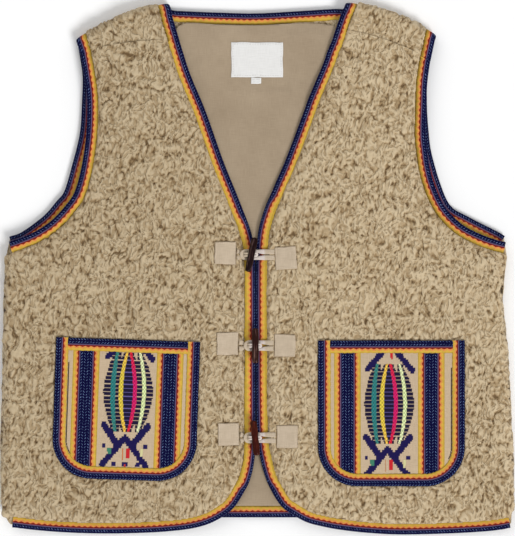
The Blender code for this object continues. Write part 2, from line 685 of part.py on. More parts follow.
def build_closures(materials, parts, cutters):
    """Patches, loops and toggles: each left loop runs through its toggle, inside the right loop."""
    for number, row in enumerate(CLOSURES, 1):
        y, toggle_x, tilt, left_x, left_y, right_x, right_y = row
        for side, px, py in (("left", left_x, left_y), ("right", right_x, right_y)):
            half, tall = PATCH_WIDTH / 2, PATCH_HEIGHT / 2
            corners = np.array([(-half, -tall), (half, -tall), (half, tall), (-half, tall)])
            outline = corners + (px, py)

            def heights(flat, _):
                under = np.array([pile_top(abs(x)) for x in flat[:, 0]]) + 2 * GAP
                return under, under + PATCH_THICK

            name = f"patch_{side}_{number}"
            pattern = (outline, [False] * 4, [(k, (k + 1) % 4) for k in range(4)])
            mesh = cloth_mesh(name, outline, pattern, heights, place_front)
            add_object(name, mesh, materials["linen"], parts)

        low = FRONT_MIDDLE + RIBBON_HALF + GAP + STRAND_HALF
        start = left_x + PATCH_WIDTH / 2 + 1.2
        stem = (
            (start, 3.6, pile_top(-start) + 2 * GAP + STRAND_HALF + 0.2, 2.8),
            (toggle_x - 14.5, 3.3, low + 0.4, 2.6),
            (toggle_x - 12.2, 1.45, low, 1.2),
            (toggle_x - 9.4, 1.3, low + 0.2, 1.1),
            (toggle_x - 8.2, 1.3, low + 2.8, 1.1),
            (toggle_x - 7.2, 1.3, TOGGLE_Z - 0.6, 1.1),
            (toggle_x - 5.4, 1.3, TOGGLE_Z, 1.1),
            (toggle_x + 4.4, 1.3, TOGGLE_Z, 1.1),
            (toggle_x + 5.2, 1.6, TOGGLE_Z - 0.3, 1.3),
        )
        mesh = loop_mesh(f"loop_left_{number}", stem, y, 1)
        add_object(f"loop_left_{number}", mesh, materials["linen"], parts)

        start = right_x - PATCH_WIDTH / 2 - 1.0
        over = low + 2 * STRAND_HALF + GAP
        strand = (
            (start, 3.2, pile_top(start) + 2 * GAP + STRAND_HALF + 0.2, 2.8),
            (toggle_x + 14.0, 3.2, low + 0.4, 2.8),
            (toggle_x + 7.0, 3.7, low, 1.9),
            (toggle_x - 1.0, 4.2, low, 1.3),
            (toggle_x - 5.0, 4.2, low + 1.0, 1.3),
            (toggle_x - 8.5, 4.1, over, 1.3),
        )
        mesh = loop_mesh(f"loop_right_{number}", strand, y, -1)
        add_object(f"loop_right_{number}", mesh, materials["linen"], parts)
        build_toggle(number, (toggle_x, y, TOGGLE_Z), tilt, materials["horn"], parts, cutters)


def build_toggle(number, centre, tilt, material, parts, cutters):
    """A barrel turned about its length, slotted across its middle for the loop."""
    half, radius = TOGGLE_LENGTH / 2, TOGGLE_RADIUS
    profile = ((half, 0), (half - 0.6, 0.6), (half - 3, 0.86), (half / 2, 0.96), (0, 1.0),
               (-half / 2, 0.96), (3 - half, 0.86), (0.6 - half, 0.6), (-half, 0))
    mesh = bpy.data.meshes.new(f"toggle_{number}")
    verts = [(share * radius * MM, 0, z * MM) for z, share in profile]
    mesh.from_pydata(verts, [(k, k + 1) for k in range(len(verts) - 1)], [])
    toggle = add_object(f"toggle_{number}", mesh, material, parts)
    toggle.location = Vector(centre) * MM
    toggle.rotation_euler = (math.radians(90), 0, math.radians(tilt))
    screw = toggle.modifiers.new("turn", "SCREW")
    screw.axis = "Z"
    screw.steps = 14
    screw.render_steps = 14
    screw.use_merge_vertices = True
    screw.merge_threshold = 0.0001
    screw.use_normal_calculate = True

    bm = bmesh.new()
    bmesh.ops.create_cube(bm, size=MM)
    block = bpy.data.meshes.new(f"slot_{number}")
    bm.to_mesh(block)
    bm.free()
    slot = bpy.data.objects.new(f"slot_{number}", block)
    cutters.objects.link(slot)
    slot.scale = SLOT
    slot.location = toggle.location
    slot.rotation_euler = (0, 0, math.radians(tilt))
    slot.hide_render = True
    slot.display_type = "WIRE"
    cut = toggle.modifiers.new("slot", "BOOLEAN")
    cut.operation = "DIFFERENCE"
    cut.object = slot
    cut.solver = "EXACT"


clear_scene()
PARTS = new_collection("fleece_vest")
CUTTERS = new_collection("cutters")
MATERIALS = {
    "fleece": new_material("curly fleece", (0.40, 0.29, 0.18), 0.95),
    "lining": new_material("smooth fleece", (0.45, 0.35, 0.24), 0.9),
    "ribbon": new_material("woven ribbon", (0.02, 0.02, 0.12), 0.6),
    "pattern": new_material("patterned weave", (0.62, 0.42, 0.16), 0.7),
    "linen": new_material("linen", (0.55, 0.42, 0.30), 0.85),
    "label": new_material("label weave", (0.80, 0.79, 0.76), 0.7),
    "horn": new_material("dark horn", (0.05, 0.025, 0.018), 0.35),
}
PATHS = garment_paths()
build_back(PATHS, MATERIALS, PARTS)
build_lining(MATERIALS, PARTS)
build_fronts(PATHS, MATERIALS, PARTS)
build_pockets(MATERIALS, PARTS)
build_closures(MATERIALS, PARTS, CUTTERS)
LABEL_LOW = LINING_LOW + LINING_THICK + GAP
flat_box("label", LABEL_BOX, LABEL_LOW, LABEL_LOW + LABEL_THICK, MATERIALS["label"], PARTS)
flat_box("label_tab", TAB_BOX, LABEL_LOW, LABEL_LOW + LABEL_THICK, MATERIALS["label"], PARTS)
for piece in (*PARTS.objects, *CUTTERS.objects):
    piece.location -= Vector((*OUTLINE_MIDDLE, 0)) * MM
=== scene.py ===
"""Looks of a curly-fleece vest laid flat: fleece, ribbons, pockets, closures and label.

Sizes in the tables are millimetres in the photo's own frame: +X is the right as seen, +Y runs up to
the neck and +Z up off the surface. A path that bounds cloth has the cloth on its left.
"""

import math

import bmesh
import bpy
import numpy as np
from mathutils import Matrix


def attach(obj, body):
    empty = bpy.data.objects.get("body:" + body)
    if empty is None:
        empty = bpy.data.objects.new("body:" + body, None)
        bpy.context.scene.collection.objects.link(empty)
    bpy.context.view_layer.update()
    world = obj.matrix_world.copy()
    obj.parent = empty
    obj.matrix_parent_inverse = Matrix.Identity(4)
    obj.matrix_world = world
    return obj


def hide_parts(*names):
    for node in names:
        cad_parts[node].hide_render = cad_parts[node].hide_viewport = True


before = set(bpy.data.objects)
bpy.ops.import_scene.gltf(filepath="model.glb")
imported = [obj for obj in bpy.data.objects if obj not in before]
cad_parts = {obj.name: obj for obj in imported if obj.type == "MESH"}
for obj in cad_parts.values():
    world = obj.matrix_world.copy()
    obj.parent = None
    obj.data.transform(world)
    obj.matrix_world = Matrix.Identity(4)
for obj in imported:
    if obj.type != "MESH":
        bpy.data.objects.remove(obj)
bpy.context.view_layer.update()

# Camera, floor and light
# The camera looks straight down on the middle of the vest through a long lens. The floor is plain
# and nearly white, and a broad key light from the upper left with a pale sky keeps shadows soft.

CAMERA_PLACE = (0.0003, 0.00075, 3.2876)
LENS_MM = 200
SENSOR_MM = 36
CLIP_END = 20
FLOOR_HALF = 3
FLOOR_WHITE = (0.98, 0.98, 0.98, 1)
SKY_STRENGTH = 0.52
# Lights: name, strength, angle, tilt and heading in degrees
SUNS = (("key", 2.0, 22, 48, 35), ("fill", 0.5, 50, 50, 215))

camera = bpy.data.objects.new("camera", bpy.data.cameras.new("camera"))
camera.location = CAMERA_PLACE
camera.data.lens = LENS_MM
camera.data.sensor_fit = "VERTICAL"
camera.data.sensor_height = SENSOR_MM
camera.data.clip_end = CLIP_END
bpy.context.collection.objects.link(camera)
bpy.context.scene.camera = camera

bm = bmesh.new()
bmesh.ops.create_grid(bm, x_segments=1, y_segments=1, size=FLOOR_HALF)
floor_mesh = bpy.data.meshes.new("floor")
bm.to_mesh(floor_mesh)
bm.free()
floor = bpy.data.objects.new("floor", floor_mesh)
bpy.context.collection.objects.link(floor)
paint = bpy.data.materials.new("white floor")
paint.use_nodes = True
floor_shader = paint.node_tree.nodes["Principled BSDF"]
floor_shader.inputs["Base Color"].default_value = FLOOR_WHITE
floor_shader.inputs["Roughness"].default_value = 0.9
floor_mesh.materials.append(paint)

for name, strength, angle, tilt, heading in SUNS:
    sun = bpy.data.objects.new(name, bpy.data.lights.new(name, "SUN"))
    sun.data.energy = strength
    sun.data.angle = math.radians(angle)
    sun.rotation_euler = (math.radians(tilt), 0, math.radians(heading))
    bpy.context.collection.objects.link(sun)

world = bpy.data.worlds.new("pale sky")
world.use_nodes = True
sky = world.node_tree.nodes["Background"]
sky.inputs["Color"].default_value = (1, 1, 1, 1)
sky.inputs["Strength"].default_value = SKY_STRENGTH
bpy.context.scene.world = world
bpy.context.scene.view_settings.view_transform = "Standard"

# Back panel
# Thick curly fleece, cut in one with the two shoulder turn-overs that come down on the front to the
# forward shoulder seams. Its outer side lies flat on the surface and shows only over the shoulders
# and at the side seams, where its pile stands up in curled clumps.

MM = 0.001
MIDDLE = (-0.3, -0.75)
GAP = 0.3
BACK_THICK = 8.5
BACK_MIDDLE = 4.2
FRONT_LOW = 10.1
FRONT_THICK = 8.9
FRONT_EDGE_THICK = 5.5
BACK_EDGE_TOP = 7.0
FRONT_MIDDLE = 13.0
RIBBON_HALF = 2.6
TONGUE_START = 2.3
TONGUE_END = 12.5
TONGUE_HALF = 1.1
PILE_START = 13.8
PILE_FULL = 40.0
SIDE_ROUND = 11.0
SIDE_EDGE = 1.1
STATION_STEP = 3.0
FOLD_STATIONS = 14
# How far the back's turn-overs stop short of the shoulder seams: below 0 they run past them, into
# the fronts' pile, which hides the seam
SEAM_GAP = -2.4
# Shoulder turn-over: the back's cloth bends over a fold axis and comes down on the front
FOLD_RADIUS = (FRONT_MIDDLE - BACK_MIDDLE) / 2
FOLD_AXIS_Z = (FRONT_MIDDLE + BACK_MIDDLE) / 2
FOLD_ARC = math.pi * FOLD_RADIUS
SHOULDER_REACH = 8.3
SHOULDER_HALF = 3.9
SHOULDER_BOW = 6.5
BOW_FADE = 60.0
# Each shoulder: neck point and armhole point of the outline (x, y), and how far along the line
# between them the neck edge and the armhole edge cross it
SHOULDERS = {
    "left": ((-94.0, 293.5), (-200.8, 253.0), 4.0, 114.3),
    "right": ((97.4, 294.0), (198.0, 257.4), 0.5, 106.8),
}
# Left front's bound edge, hem end to forward shoulder seam (x, y)
FRONT_EDGE_LEFT = (
    (-270, -285.5), (-226, -290.4), (-173, -292.6), (-118, -291.5), (-81, -288.2),
    (-56.7, -282.7), (-39, -273.9), (-25.9, -263.5), (-14.9, -246.4), (-7.7, -228.8),
    (-3.9, -209), (-2.8, -184.8), (-2.8, -101), (-2.8, -15.4), (-4.4, 24.2), (-12.1, 52.8),
    (-22, 79.2), (-38, 118.8), (-56.7, 171.6), (-73.2, 211.2), (-82, 237.6), (-86.6, 253.2),
)
# Right front's bound edge, forward shoulder seam to hem end (x, y)
FRONT_EDGE_RIGHT = (
    (86.4, 264), (82, 250.8), (76.5, 237.6), (72, 224.4), (56.2, 187), (50.7, 171.6),
    (30.8, 118.8), (19.3, 92.4), (8.8, 66), (2.2, 44), (-0.6, 19.8), (-1.4, -15.4),
    (-1.2, -101), (-0.6, -167.2), (1.1, -194.7), (5, -214.5), (9.4, -229.9), (16, -246.4),
    (25.9, -261.8), (35.8, -269.5), (53.4, -279.4), (71, -284.4), (90.8, -288.2),
    (117.2, -291.5), (156.8, -293.7), (209.6, -292.6), (249, -290.4), (266, -288.4),
    (278.5, -286.0),
)
# Front armholes, left from the seam down and right from the side up (x, y)
FRONT_ARMHOLE_LEFT = (
    (-194.7, 235.4), (-190.9, 212.3), (-187.6, 185.9), (-188.4, 148.5), (-193.4, 112.2),
    (-200.8, 84.7), (-210.7, 69.3), (-226, 52.8), (-243.7, 40.7), (-261.3, 33), (-273.4, 29),
)
FRONT_ARMHOLE_RIGHT = (
    (273, 28.6), (261.3, 31.4), (244.8, 37.4), (226, 47.3), (210.7, 61.6), (201.3, 75.9),
    (193.6, 94.6), (189.2, 112.2), (186.5, 130.9), (185, 148.5), (186, 184.8), (186.8, 203.5),
    (189.2, 222.2), (190.9, 230.6),
)
# Sides, left from the armhole down and right from the hem up (x, y)
SIDE_LEFT = (
    (-276.7, 13.2), (-278.9, -24.2), (-280, -79.2), (-281, -145.2), (-282.6, -189.2),
    (-282.6, -242), (-280.5, -266),
)
SIDE_RIGHT = (
    (281.4, -262), (282.2, -224.4), (280, -178.2), (277.8, -136.4), (275.6, -92.4),
    (270, -39.6), (272.3, -2.2), (274.5, 13.2),
)
# Back armholes up to the fold axis, the neck and the hem (x, y)
BACK_ARMHOLE_LEFT = (
    (-196.8, 238.6), (-193, 212), (-193.5, 185), (-196, 148.5), (-204.8, 112),
    (-213, 84.7), (-220.6, 74.8), (-236, 57.2), (-260, 39.6), (-273.6, 34.7),
)
BACK_ARMHOLE_RIGHT = (
    (272.8, 35.2), (265.7, 39.6), (249, 47.9), (231, 57.2), (216, 65.5), (208.3, 75.9),
    (201, 94.6), (195.6, 112.2), (191, 130.9), (188.9, 148.5), (187, 176), (187.3, 212.3),
    (191.6, 240.6),
)
BACK_NECK = (
    (94.9, 285.5), (82, 285.6), (51.2, 283.6), (0, 280.8), (-41.3, 281.6), (-72, 282.8),
    (-84, 283.4), (-94.6, 283.7),
)
BACK_HEM = ((-271, -268.4), (-140, -274), (0, -275), (135, -274), (271, -268.4))
# The neck edge of each shoulder turn-over, from the seam up to below the fold axis (x, y)
SHOULDER_NECK_LEFT = ((-86.6, 253.2), (-90, 264.5), (-93, 275))
SHOULDER_NECK_RIGHT = ((86.4, 264), (91, 277.5))


def linear(red, green, blue):
    """A colour as seen in the photo, 0 to 255, as Blender's linear colour."""
    shares = [value / 255 for value in (red, green, blue)]
    return (*[s / 12.92 if s < 0.04045 else ((s + 0.055) / 1.055) ** 2.4 for s in shares], 1.0)


def run_length(path):
    """How far along the path each of its points lies."""
    return np.concatenate([[0], np.cumsum(np.linalg.norm(np.diff(path, axis=0), axis=1))])


def smooth_path(points, step=STATION_STEP):
    """A Catmull-Rom curve through the points, read at even steps of its length."""
    points = np.array(points, float)
    ends = np.vstack([2 * points[0] - points[1], points, 2 * points[-1] - points[-2]])
    dense = []
    for a, b, c, d in zip(ends[:-3], ends[1:-2], ends[2:-1], ends[3:]):
        t = np.linspace(0, 1, 12, endpoint=False)[:, None]
        dense.append(0.5 * (2 * b + (c - a) * t + (2 * a - 5 * b + 4 * c - d) * t**2
                            + (3 * b - a - 3 * c + d) * t**3))
    dense = np.vstack(dense + [points[-1:]])
    length = run_length(dense)
    at = np.linspace(0, length[-1], max(2, round(length[-1] / step)) + 1)
    return np.stack([np.interp(at, length, dense[:, k]) for k in (0, 1)], axis=1)


def cloth_normals(path):
    """Mitred unit offsets to the left of the path, where its cloth is."""
    run = np.diff(path, axis=0)
    run /= np.linalg.norm(run, axis=1)[:, None]
    left = np.stack([-run[:, 1], run[:, 0]], axis=1)
    before = np.vstack([left[:1], left])
    after = np.vstack([left, left[-1:]])
    mean = before + after
    return 2 * mean / (mean * mean).sum(axis=1)[:, None]


def offset(path, distance):
    return path + cloth_normals(path) * distance


def ringed(outline):
    """The outline with its first point again at its end."""
    return np.vstack([outline, outline[:1]])


def nearest(points, path):
    """Distance of each point from the path, and the path station (a real number) it is nearest."""
    start, run = path[:-1], np.diff(path, axis=0)
    square = (run * run).sum(axis=1)
    gaps, stations = [], []
    for some in np.array_split(points, len(points) // 4000 + 1):
        away = some[:, None] - start[None]
        share = np.clip((away * run).sum(2) / square, 0, 1)
        found = np.linalg.norm(away - share[..., None] * run, axis=2)
        best = found.argmin(axis=1)
        rows = np.arange(len(some))
        gaps.append(found[rows, best])
        stations.append(best + share[rows, best])
    return np.concatenate(gaps), np.concatenate(stations)


def inside(points, outline):
    """Which points lie inside the closed outline, by counting crossings."""
    x, y = points[:, :1], points[:, 1:]
    x0, y0 = outline[:, 0], outline[:, 1]
    x1, y1 = np.roll(x0, -1), np.roll(y0, -1)
    spans = (y0 > y) != (y1 > y)
    with np.errstate(divide="ignore", invalid="ignore"):
        cross = x < (x1 - x0) * (y - y0) / (y1 - y0) + x0
    return (spans & cross).sum(axis=1) % 2 == 1


def smoothstep(value):
    value = np.clip(value, 0, 1)
    return value * value * (3 - 2 * value)


def shoulder_frame(side):
    """Axis point, outward direction, run direction and length of a shoulder's fold."""
    neck, armhole = (np.array(point) for point in SHOULDERS[side][:2])
    run = armhole - neck
    length = np.linalg.norm(run)
    run = run / length
    out = np.array((run[1], -run[0]) if side == "left" else (-run[1], run[0]))
    return neck - SHOULDER_REACH * out, out, run, length


def bow(points):
    """The garment's gentle outward bow along each shoulder line, on front and back alike."""
    moved = np.array(points, float)
    for side in SHOULDERS:
        axis, out, run, length = shoulder_frame(side)
        away = points[:, :2] - axis
        along = np.clip(away @ run / length, 0, 1)
        near = smoothstep(1 - np.abs(away @ out) / BOW_FADE)
        moved[:, :2] += (SHOULDER_BOW * 4 * along * (1 - along) * near)[:, None] * out
    return moved


def place_front(flat, height):
    return bow(np.column_stack([flat, height]))


def place_back(flat, height):
    """Folds the back's pattern over both shoulder axes, then bows it."""
    flat = np.array(flat, float)
    height = np.broadcast_to(height, len(flat)).astype(float)
    points = np.column_stack([flat, height])
    for side in SHOULDERS:
        axis, out, _, _ = shoulder_frame(side)
        away = (flat - axis) @ out
        over = (away > 0) & ((flat[:, 0] < 0) == (side == "left"))
        turn = np.minimum(away / FOLD_RADIUS, math.pi)
        reach = FOLD_AXIS_Z - height
        past = np.maximum(away - FOLD_ARC, 0)
        foot = flat - away[:, None] * out
        folded = foot + (reach * np.sin(turn) - past)[:, None] * out
        points[over, :2] = folded[over]
        points[over, 2] = (FOLD_AXIS_Z - reach * np.cos(turn))[over]
    return bow(points)


def unfold(points, side):
    """The back pattern's own place of points that lie on the front of a shoulder."""
    points = np.array(points, float)
    axis, out, _, _ = shoulder_frame(side)
    inward = -(points - axis) @ out
    return points + (2 * inward + FOLD_ARC)[:, None] * out


def edge_middle(path):
    """Mid height of the front bindings: on the back at the centre, dropping past its hem."""
    return np.interp(path[:, 1], (-290.0, -287.5, -286.0, -276.0), (6.5, 9.8, 9.8, FRONT_MIDDLE))


def shorten(path, start=0.0, end=0.0):
    """The path with its ends drawn back along it."""
    path = path.copy()
    path[0] += start * (path[1] - path[0]) / np.linalg.norm(path[1] - path[0])
    path[-1] += end * (path[-2] - path[-1]) / np.linalg.norm(path[-2] - path[-1])
    return path


def over_fold(side, along):
    """Stations of an edge that crosses a shoulder's fold squarely, on the back's pattern."""
    axis, out, run, _ = shoulder_frame(side)
    away = np.linspace(0, FOLD_ARC, FOLD_STATIONS)
    return axis + along * run + away[:, None] * out


def garment_paths():
    """Every bound edge as even stations: fronts on the front, the back on its own pattern."""
    paths = {
        "front_left": smooth_path(FRONT_EDGE_LEFT),
        "front_right": smooth_path(FRONT_EDGE_RIGHT),
        "armhole_left": smooth_path(FRONT_ARMHOLE_LEFT),
        "armhole_right": smooth_path(FRONT_ARMHOLE_RIGHT),
        "back_hem": smooth_path(BACK_HEM, 2 * STATION_STEP),
    }
    _, _, neck_left, arm_left = SHOULDERS["left"]
    _, _, neck_right, arm_right = SHOULDERS["right"]
    paths["back_armhole_left"] = shorten(np.vstack([
        unfold(FRONT_ARMHOLE_LEFT[:1], "left"), over_fold("left", arm_left)[::-1],
        smooth_path(BACK_ARMHOLE_LEFT)]), start=SEAM_GAP)
    paths["back_armhole_right"] = shorten(np.vstack([
        smooth_path(BACK_ARMHOLE_RIGHT), over_fold("right", arm_right),
        unfold(FRONT_ARMHOLE_RIGHT[-1:], "right")]), end=SEAM_GAP)
    paths["neck"] = shorten(np.vstack([
        unfold(SHOULDER_NECK_RIGHT, "right"), over_fold("right", neck_right)[::-1],
        smooth_path(BACK_NECK), over_fold("left", neck_left),
        unfold(SHOULDER_NECK_LEFT[::-1], "left")]), SEAM_GAP, SEAM_GAP)
    return paths


def front_heights(flat, thin, edges, side):
    """Underside and top of a front, thin inside its bindings and rounded at its side."""
    gap = np.full(len(flat), np.inf)
    middle = np.zeros(len(flat))
    for path, heights in edges:
        found, station = nearest(flat, path)
        level = np.interp(station, np.arange(len(path)), heights)
        middle = np.where(found < gap, level, middle)
        gap = np.minimum(gap, found)
    rise = np.clip((gap - PILE_START) / (PILE_FULL - PILE_START), 0, 1)
    thick = FRONT_EDGE_THICK + (FRONT_THICK - FRONT_EDGE_THICK) * rise
    inward = np.minimum(nearest(flat, side)[0] / SIDE_ROUND, 1)
    thick = SIDE_EDGE + (thick - SIDE_EDGE) * np.sqrt(1 - (1 - inward) ** 2)
    low = np.where(thin, middle - TONGUE_HALF, FRONT_LOW)
    return low, np.where(thin, middle + TONGUE_HALF, FRONT_LOW + thick)


def back_heights(flat, thin, edges, sides):
    """Underside and top of the back's pattern before it is folded."""
    gap = np.min([nearest(flat, path)[0] for path in edges], axis=0)
    rise = np.clip((gap - PILE_START) / (PILE_FULL - PILE_START), 0, 1)
    high = BACK_EDGE_TOP + (BACK_THICK - BACK_EDGE_TOP) * rise
    inward = np.min([nearest(flat, path)[0] for path in sides], axis=0) / SIDE_ROUND
    inward = np.minimum(inward, 1)
    low = (BACK_THICK - SIDE_EDGE) * (1 - np.sqrt(1 - (1 - inward) ** 2))
    high = np.maximum(high, low + SIDE_EDGE)
    for side in SHOULDERS:
        axis, out, _, _ = shoulder_frame(side)
        over = ((flat - axis) @ out > -SHOULDER_HALF) & ((flat[:, 0] < 0) == (side == "left"))
        low = np.where(over, BACK_MIDDLE - SHOULDER_HALF, low)
        high = np.where(over, np.minimum(high, BACK_MIDDLE + SHOULDER_HALF), high)
    return (np.where(thin, BACK_MIDDLE - TONGUE_HALF, low),
            np.where(thin, BACK_MIDDLE + TONGUE_HALF, high))


def evened(path, step):
    """A path read again at even steps of its length."""
    length = run_length(path)
    at = np.linspace(0, length[-1], round(length[-1] / step) + 1)
    return np.stack([np.interp(at, length, path[:, k]) for k in (0, 1)], axis=1)


def soft_noise(points, size, seed):
    """Smooth random values from -1 to 1 that change over about that many millimetres."""
    table = np.random.default_rng(seed).uniform(-1, 1, (64, 64))
    place = points / size
    cell = np.floor(place).astype(int)
    share = smoothstep(place - cell)
    corner = {(i, j): table[(cell[:, 0] + i) % 64, (cell[:, 1] + j) % 64]
              for i in (0, 1) for j in (0, 1)}
    low = corner[0, 0] + (corner[1, 0] - corner[0, 0]) * share[:, 0]
    high = corner[0, 1] + (corner[1, 1] - corner[0, 1]) * share[:, 0]
    return low + (high - low) * share[:, 1]


def clumps(points, width, height, seed):
    """Rounded clumps of about that width and height: the highest dome over each point, 0 to 1."""
    rng = np.random.default_rng(seed)
    jitter = rng.uniform(0.1, 0.9, (96, 96, 2))
    size = rng.uniform(0.6, 0.88, (96, 96))
    tall = rng.uniform(0.6, 1.0, (96, 96))
    place = points / (width, height)
    cell = np.floor(place).astype(int)
    top = np.zeros(len(points))
    for i in (-1, 0, 1):
        for j in (-1, 0, 1):
            key = ((cell[:, 0] + i) % 96, (cell[:, 1] + j) % 96)
            away = np.linalg.norm(place - cell - (i, j) - jitter[key], axis=1) / size[key]
            top = np.maximum(top, tall[key] * np.sqrt(np.clip(1 - away * away, 0, 1)))
    return top


def curls(points, seed):
    """Height of curly pile: 0 in the crevices and about 1 on the tips of its clumps."""
    bend = np.stack([soft_noise(points, 26.0, seed), soft_noise(points, 26.0, seed + 1)], axis=1)
    fine = np.stack([soft_noise(points, 6.0, seed + 2), soft_noise(points, 6.0, seed + 3)], axis=1)
    moved = points + 7.0 * bend + 1.3 * fine
    pile = 0.66 * clumps(moved, 3.9, 6.4, seed + 4) + 0.14 * clumps(moved, 11, 14, seed + 5)
    return pile + 0.06 * soft_noise(points, 1.8, seed + 6) + 0.05 * soft_noise(points, 30, seed + 7)


def cut_cloth(outline, columns, rows):
    """A grid over the pattern, cut to its outline with its rim drawn onto it, and its points."""
    bm = bmesh.new()
    bmesh.ops.create_grid(bm, x_segments=len(columns) - 1, y_segments=len(rows) - 1, size=1.0)
    at = np.array([vert.co[:2] for vert in bm.verts])
    column = np.rint((at[:, 0] + 1) / 2 * (len(columns) - 1)).astype(int)
    row = np.rint((at[:, 1] + 1) / 2 * (len(rows) - 1)).astype(int)
    flat = np.stack([columns[column], rows[row]], axis=1)
    within = inside(flat, outline)
    closed = ringed(outline)
    _, station = nearest(flat[~within], closed)
    first = np.minimum(station.astype(int), len(outline) - 1)
    flat[~within] = closed[first] + (station - first)[:, None] * (closed[first + 1] - closed[first])
    for vert, point in zip(bm.verts, flat):
        vert.co = (*point, 0)
    spare = [face for face in bm.faces if not any(within[vert.index] for vert in face.verts)]
    bmesh.ops.delete(bm, geom=spare, context="FACES")
    bm.verts.index_update()
    return bm, np.array([vert.co[:2] for vert in bm.verts])


def normals_of(bm, places):
    """Vertex normals of the grid once it is laid on those places."""
    for vert, place in zip(bm.verts, places):
        vert.co = place
    bm.normal_update()
    return np.array([vert.normal for vert in bm.verts])


def finish_mesh(bm, name, places, rear, pile):
    """Closes the grid with a copy of itself on the rear places, and keeps the pile's height."""
    source = bm.verts.layers.int.new("pattern_point")
    for k, vert in enumerate(bm.verts):
        vert[source] = k
        vert.co = rear[k]
    made = bmesh.ops.extrude_face_region(bm, geom=bm.faces[:])
    for vert in made["geom"]:
        if isinstance(vert, bmesh.types.BMVert):
            vert.co = places[vert[source]]
    bmesh.ops.recalc_face_normals(bm, faces=bm.faces[:])
    return to_piece(bm, name, pile)


def to_piece(bm, name, pile):
    """A smooth-shaded object of the grid in metres, with the pile's height on its points."""
    mesh = bpy.data.meshes.new(name)
    bm.to_mesh(mesh)
    bm.free()
    places = np.empty(len(mesh.vertices) * 3)
    mesh.vertices.foreach_get("co", places)
    places = (places.reshape(-1, 3) - (*MIDDLE, 0)) * MM
    mesh.vertices.foreach_set("co", places.ravel())
    source = np.empty(len(mesh.vertices), int)
    mesh.attributes["pattern_point"].data.foreach_get("value", source)
    mesh.attributes.new("pile", "FLOAT", "POINT").data.foreach_set("value", pile[source])
    mesh.shade_smooth()
    piece = bpy.data.objects.new(name, mesh)
    bpy.context.collection.objects.link(piece)
    return piece


def claim(piece, material, slot, *nodes):
    """Gives a piece its material and its body, and hides the CAD nodes that it stands for. The slot
    argument is not used.
    """
    piece.data.materials.append(material)
    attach(piece, "root")
    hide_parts(*nodes)


def node(tree, kind, inputs=(), **settings):
    """A node with its settings and inputs; an input is a value or another node's socket."""
    made = tree.nodes.new(kind)
    for key, value in settings.items():
        setattr(made, key, value)
    for key, value in dict(inputs).items():
        if isinstance(value, bpy.types.NodeSocket):
            tree.links.new(value, made.inputs[key])
        else:
            made.inputs[key].default_value = value
    return made


def calc(tree, operation, *values):
    """The result of a math node on values or sockets."""
    return node(tree, "ShaderNodeMath", enumerate(values), operation=operation).outputs[0]


def blend_colour(tree, share, first, second, kind="MIX"):
    """A mix of two colours, each a value or a socket."""
    made = node(tree, "ShaderNodeMix", {0: share, 6: first, 7: second}, data_type="RGBA",
                blend_type=kind)
    return made.outputs[2]


def noise(tree, vector, scale, detail=2.0, roughness=0.5):
    """Noise from 0 to 1 over a vector in metres."""
    made = node(tree, "ShaderNodeTexNoise", {"Vector": vector, "Scale": scale, "Detail": detail,
                                             "Roughness": roughness})
    return made.outputs["Fac"]


def cloth_shader(name, roughness, sheen):
    """A new material with its tree, its shader and its object coordinates."""
    material = bpy.data.materials.new(name)
    material.use_nodes = True
    tree = material.node_tree
    shader = tree.nodes["Principled BSDF"]
    shader.inputs["Roughness"].default_value = roughness
    shader.inputs["Sheen Weight"].default_value = sheen
    shader.inputs["Sheen Roughness"].default_value = 0.4
    shader.inputs["Specular IOR Level"].default_value = 0.2
    return material, tree, shader, tree.nodes.new("ShaderNodeTexCoord").outputs["Object"]


def add_bump(tree, shader, strength, distance, height):
    """Bends the shader's normal by a height."""
    made = node(tree, "ShaderNodeBump", {"Strength": strength, "Distance": distance,
                                         "Height": height})
    tree.links.new(made.outputs["Normal"], shader.inputs["Normal"])


def ranged(tree, value, start, end, **settings):
    """A value from 0 at start to 1 at end."""
    return node(tree, "ShaderNodeMapRange", {"Value": value, "From Min": start, "From Max": end},
                **settings).outputs["Result"]


def attribute(tree, name):
    return node(tree, "ShaderNodeAttribute", attribute_name=name).outputs["Fac"]


fleece, tree, shader, place = cloth_shader("curly fleece", 0.95, 0.12)
pile_height = attribute(tree, "pile")
drift = node(tree, "ShaderNodeTexNoise", {"Vector": place, "Scale": 70, "Detail": 0.0})
swirl = node(tree, "ShaderNodeVectorMath", {0: drift.outputs["Color"], 1: (0.5, 0.5, 0.5)},
             operation="SUBTRACT")
swirl = node(tree, "ShaderNodeVectorMath", {0: swirl.outputs[0], "Scale": 0.011}, operation="SCALE")
curled = node(tree, "ShaderNodeVectorMath", {0: place, 1: swirl.outputs[0]}, operation="ADD")
curled = node(tree, "ShaderNodeMapping", {"Vector": curled.outputs[0], "Scale": (1, 0.6, 0.5)})
lock = node(tree, "ShaderNodeTexNoise", {"Vector": curled.outputs[0], "Scale": 360, "Detail": 1.0,
            "Roughness": 0.45, "Distortion": 0.15}).outputs["Fac"]
tuft = ranged(tree, lock, 0.34, 0.56, interpolation_type="SMOOTHSTEP")
fibre = noise(tree, place, 1500, 3.0, 0.65)
patchy = noise(tree, place, 45, 2.0, 0.5)
# Painted shade and light: the pile's crevices, low in its height and in the lock noise, are
# coloured dark brown and its clump tops pale, with patchy random tone on top.
risen = ranged(tree, pile_height, 0.12, 0.62, interpolation_type="SMOOTHSTEP")
crevice_shade_and_tone = calc(tree, "ADD", calc(tree, "MULTIPLY", risen, 0.55), calc(tree, "ADD", calc(
    tree, "MULTIPLY", tuft, 0.34), calc(tree, "MULTIPLY", patchy, 0.18)))
shade = node(tree, "ShaderNodeValToRGB", {"Fac": crevice_shade_and_tone})
shade.color_ramp.elements[0].position = 0.16
shade.color_ramp.elements[0].color = linear(110, 86, 57)
shade.color_ramp.elements[1].position = 1.0
shade.color_ramp.elements[1].color = linear(214, 195, 162)
shade.color_ramp.elements.new(0.4).color = linear(153, 128, 93)
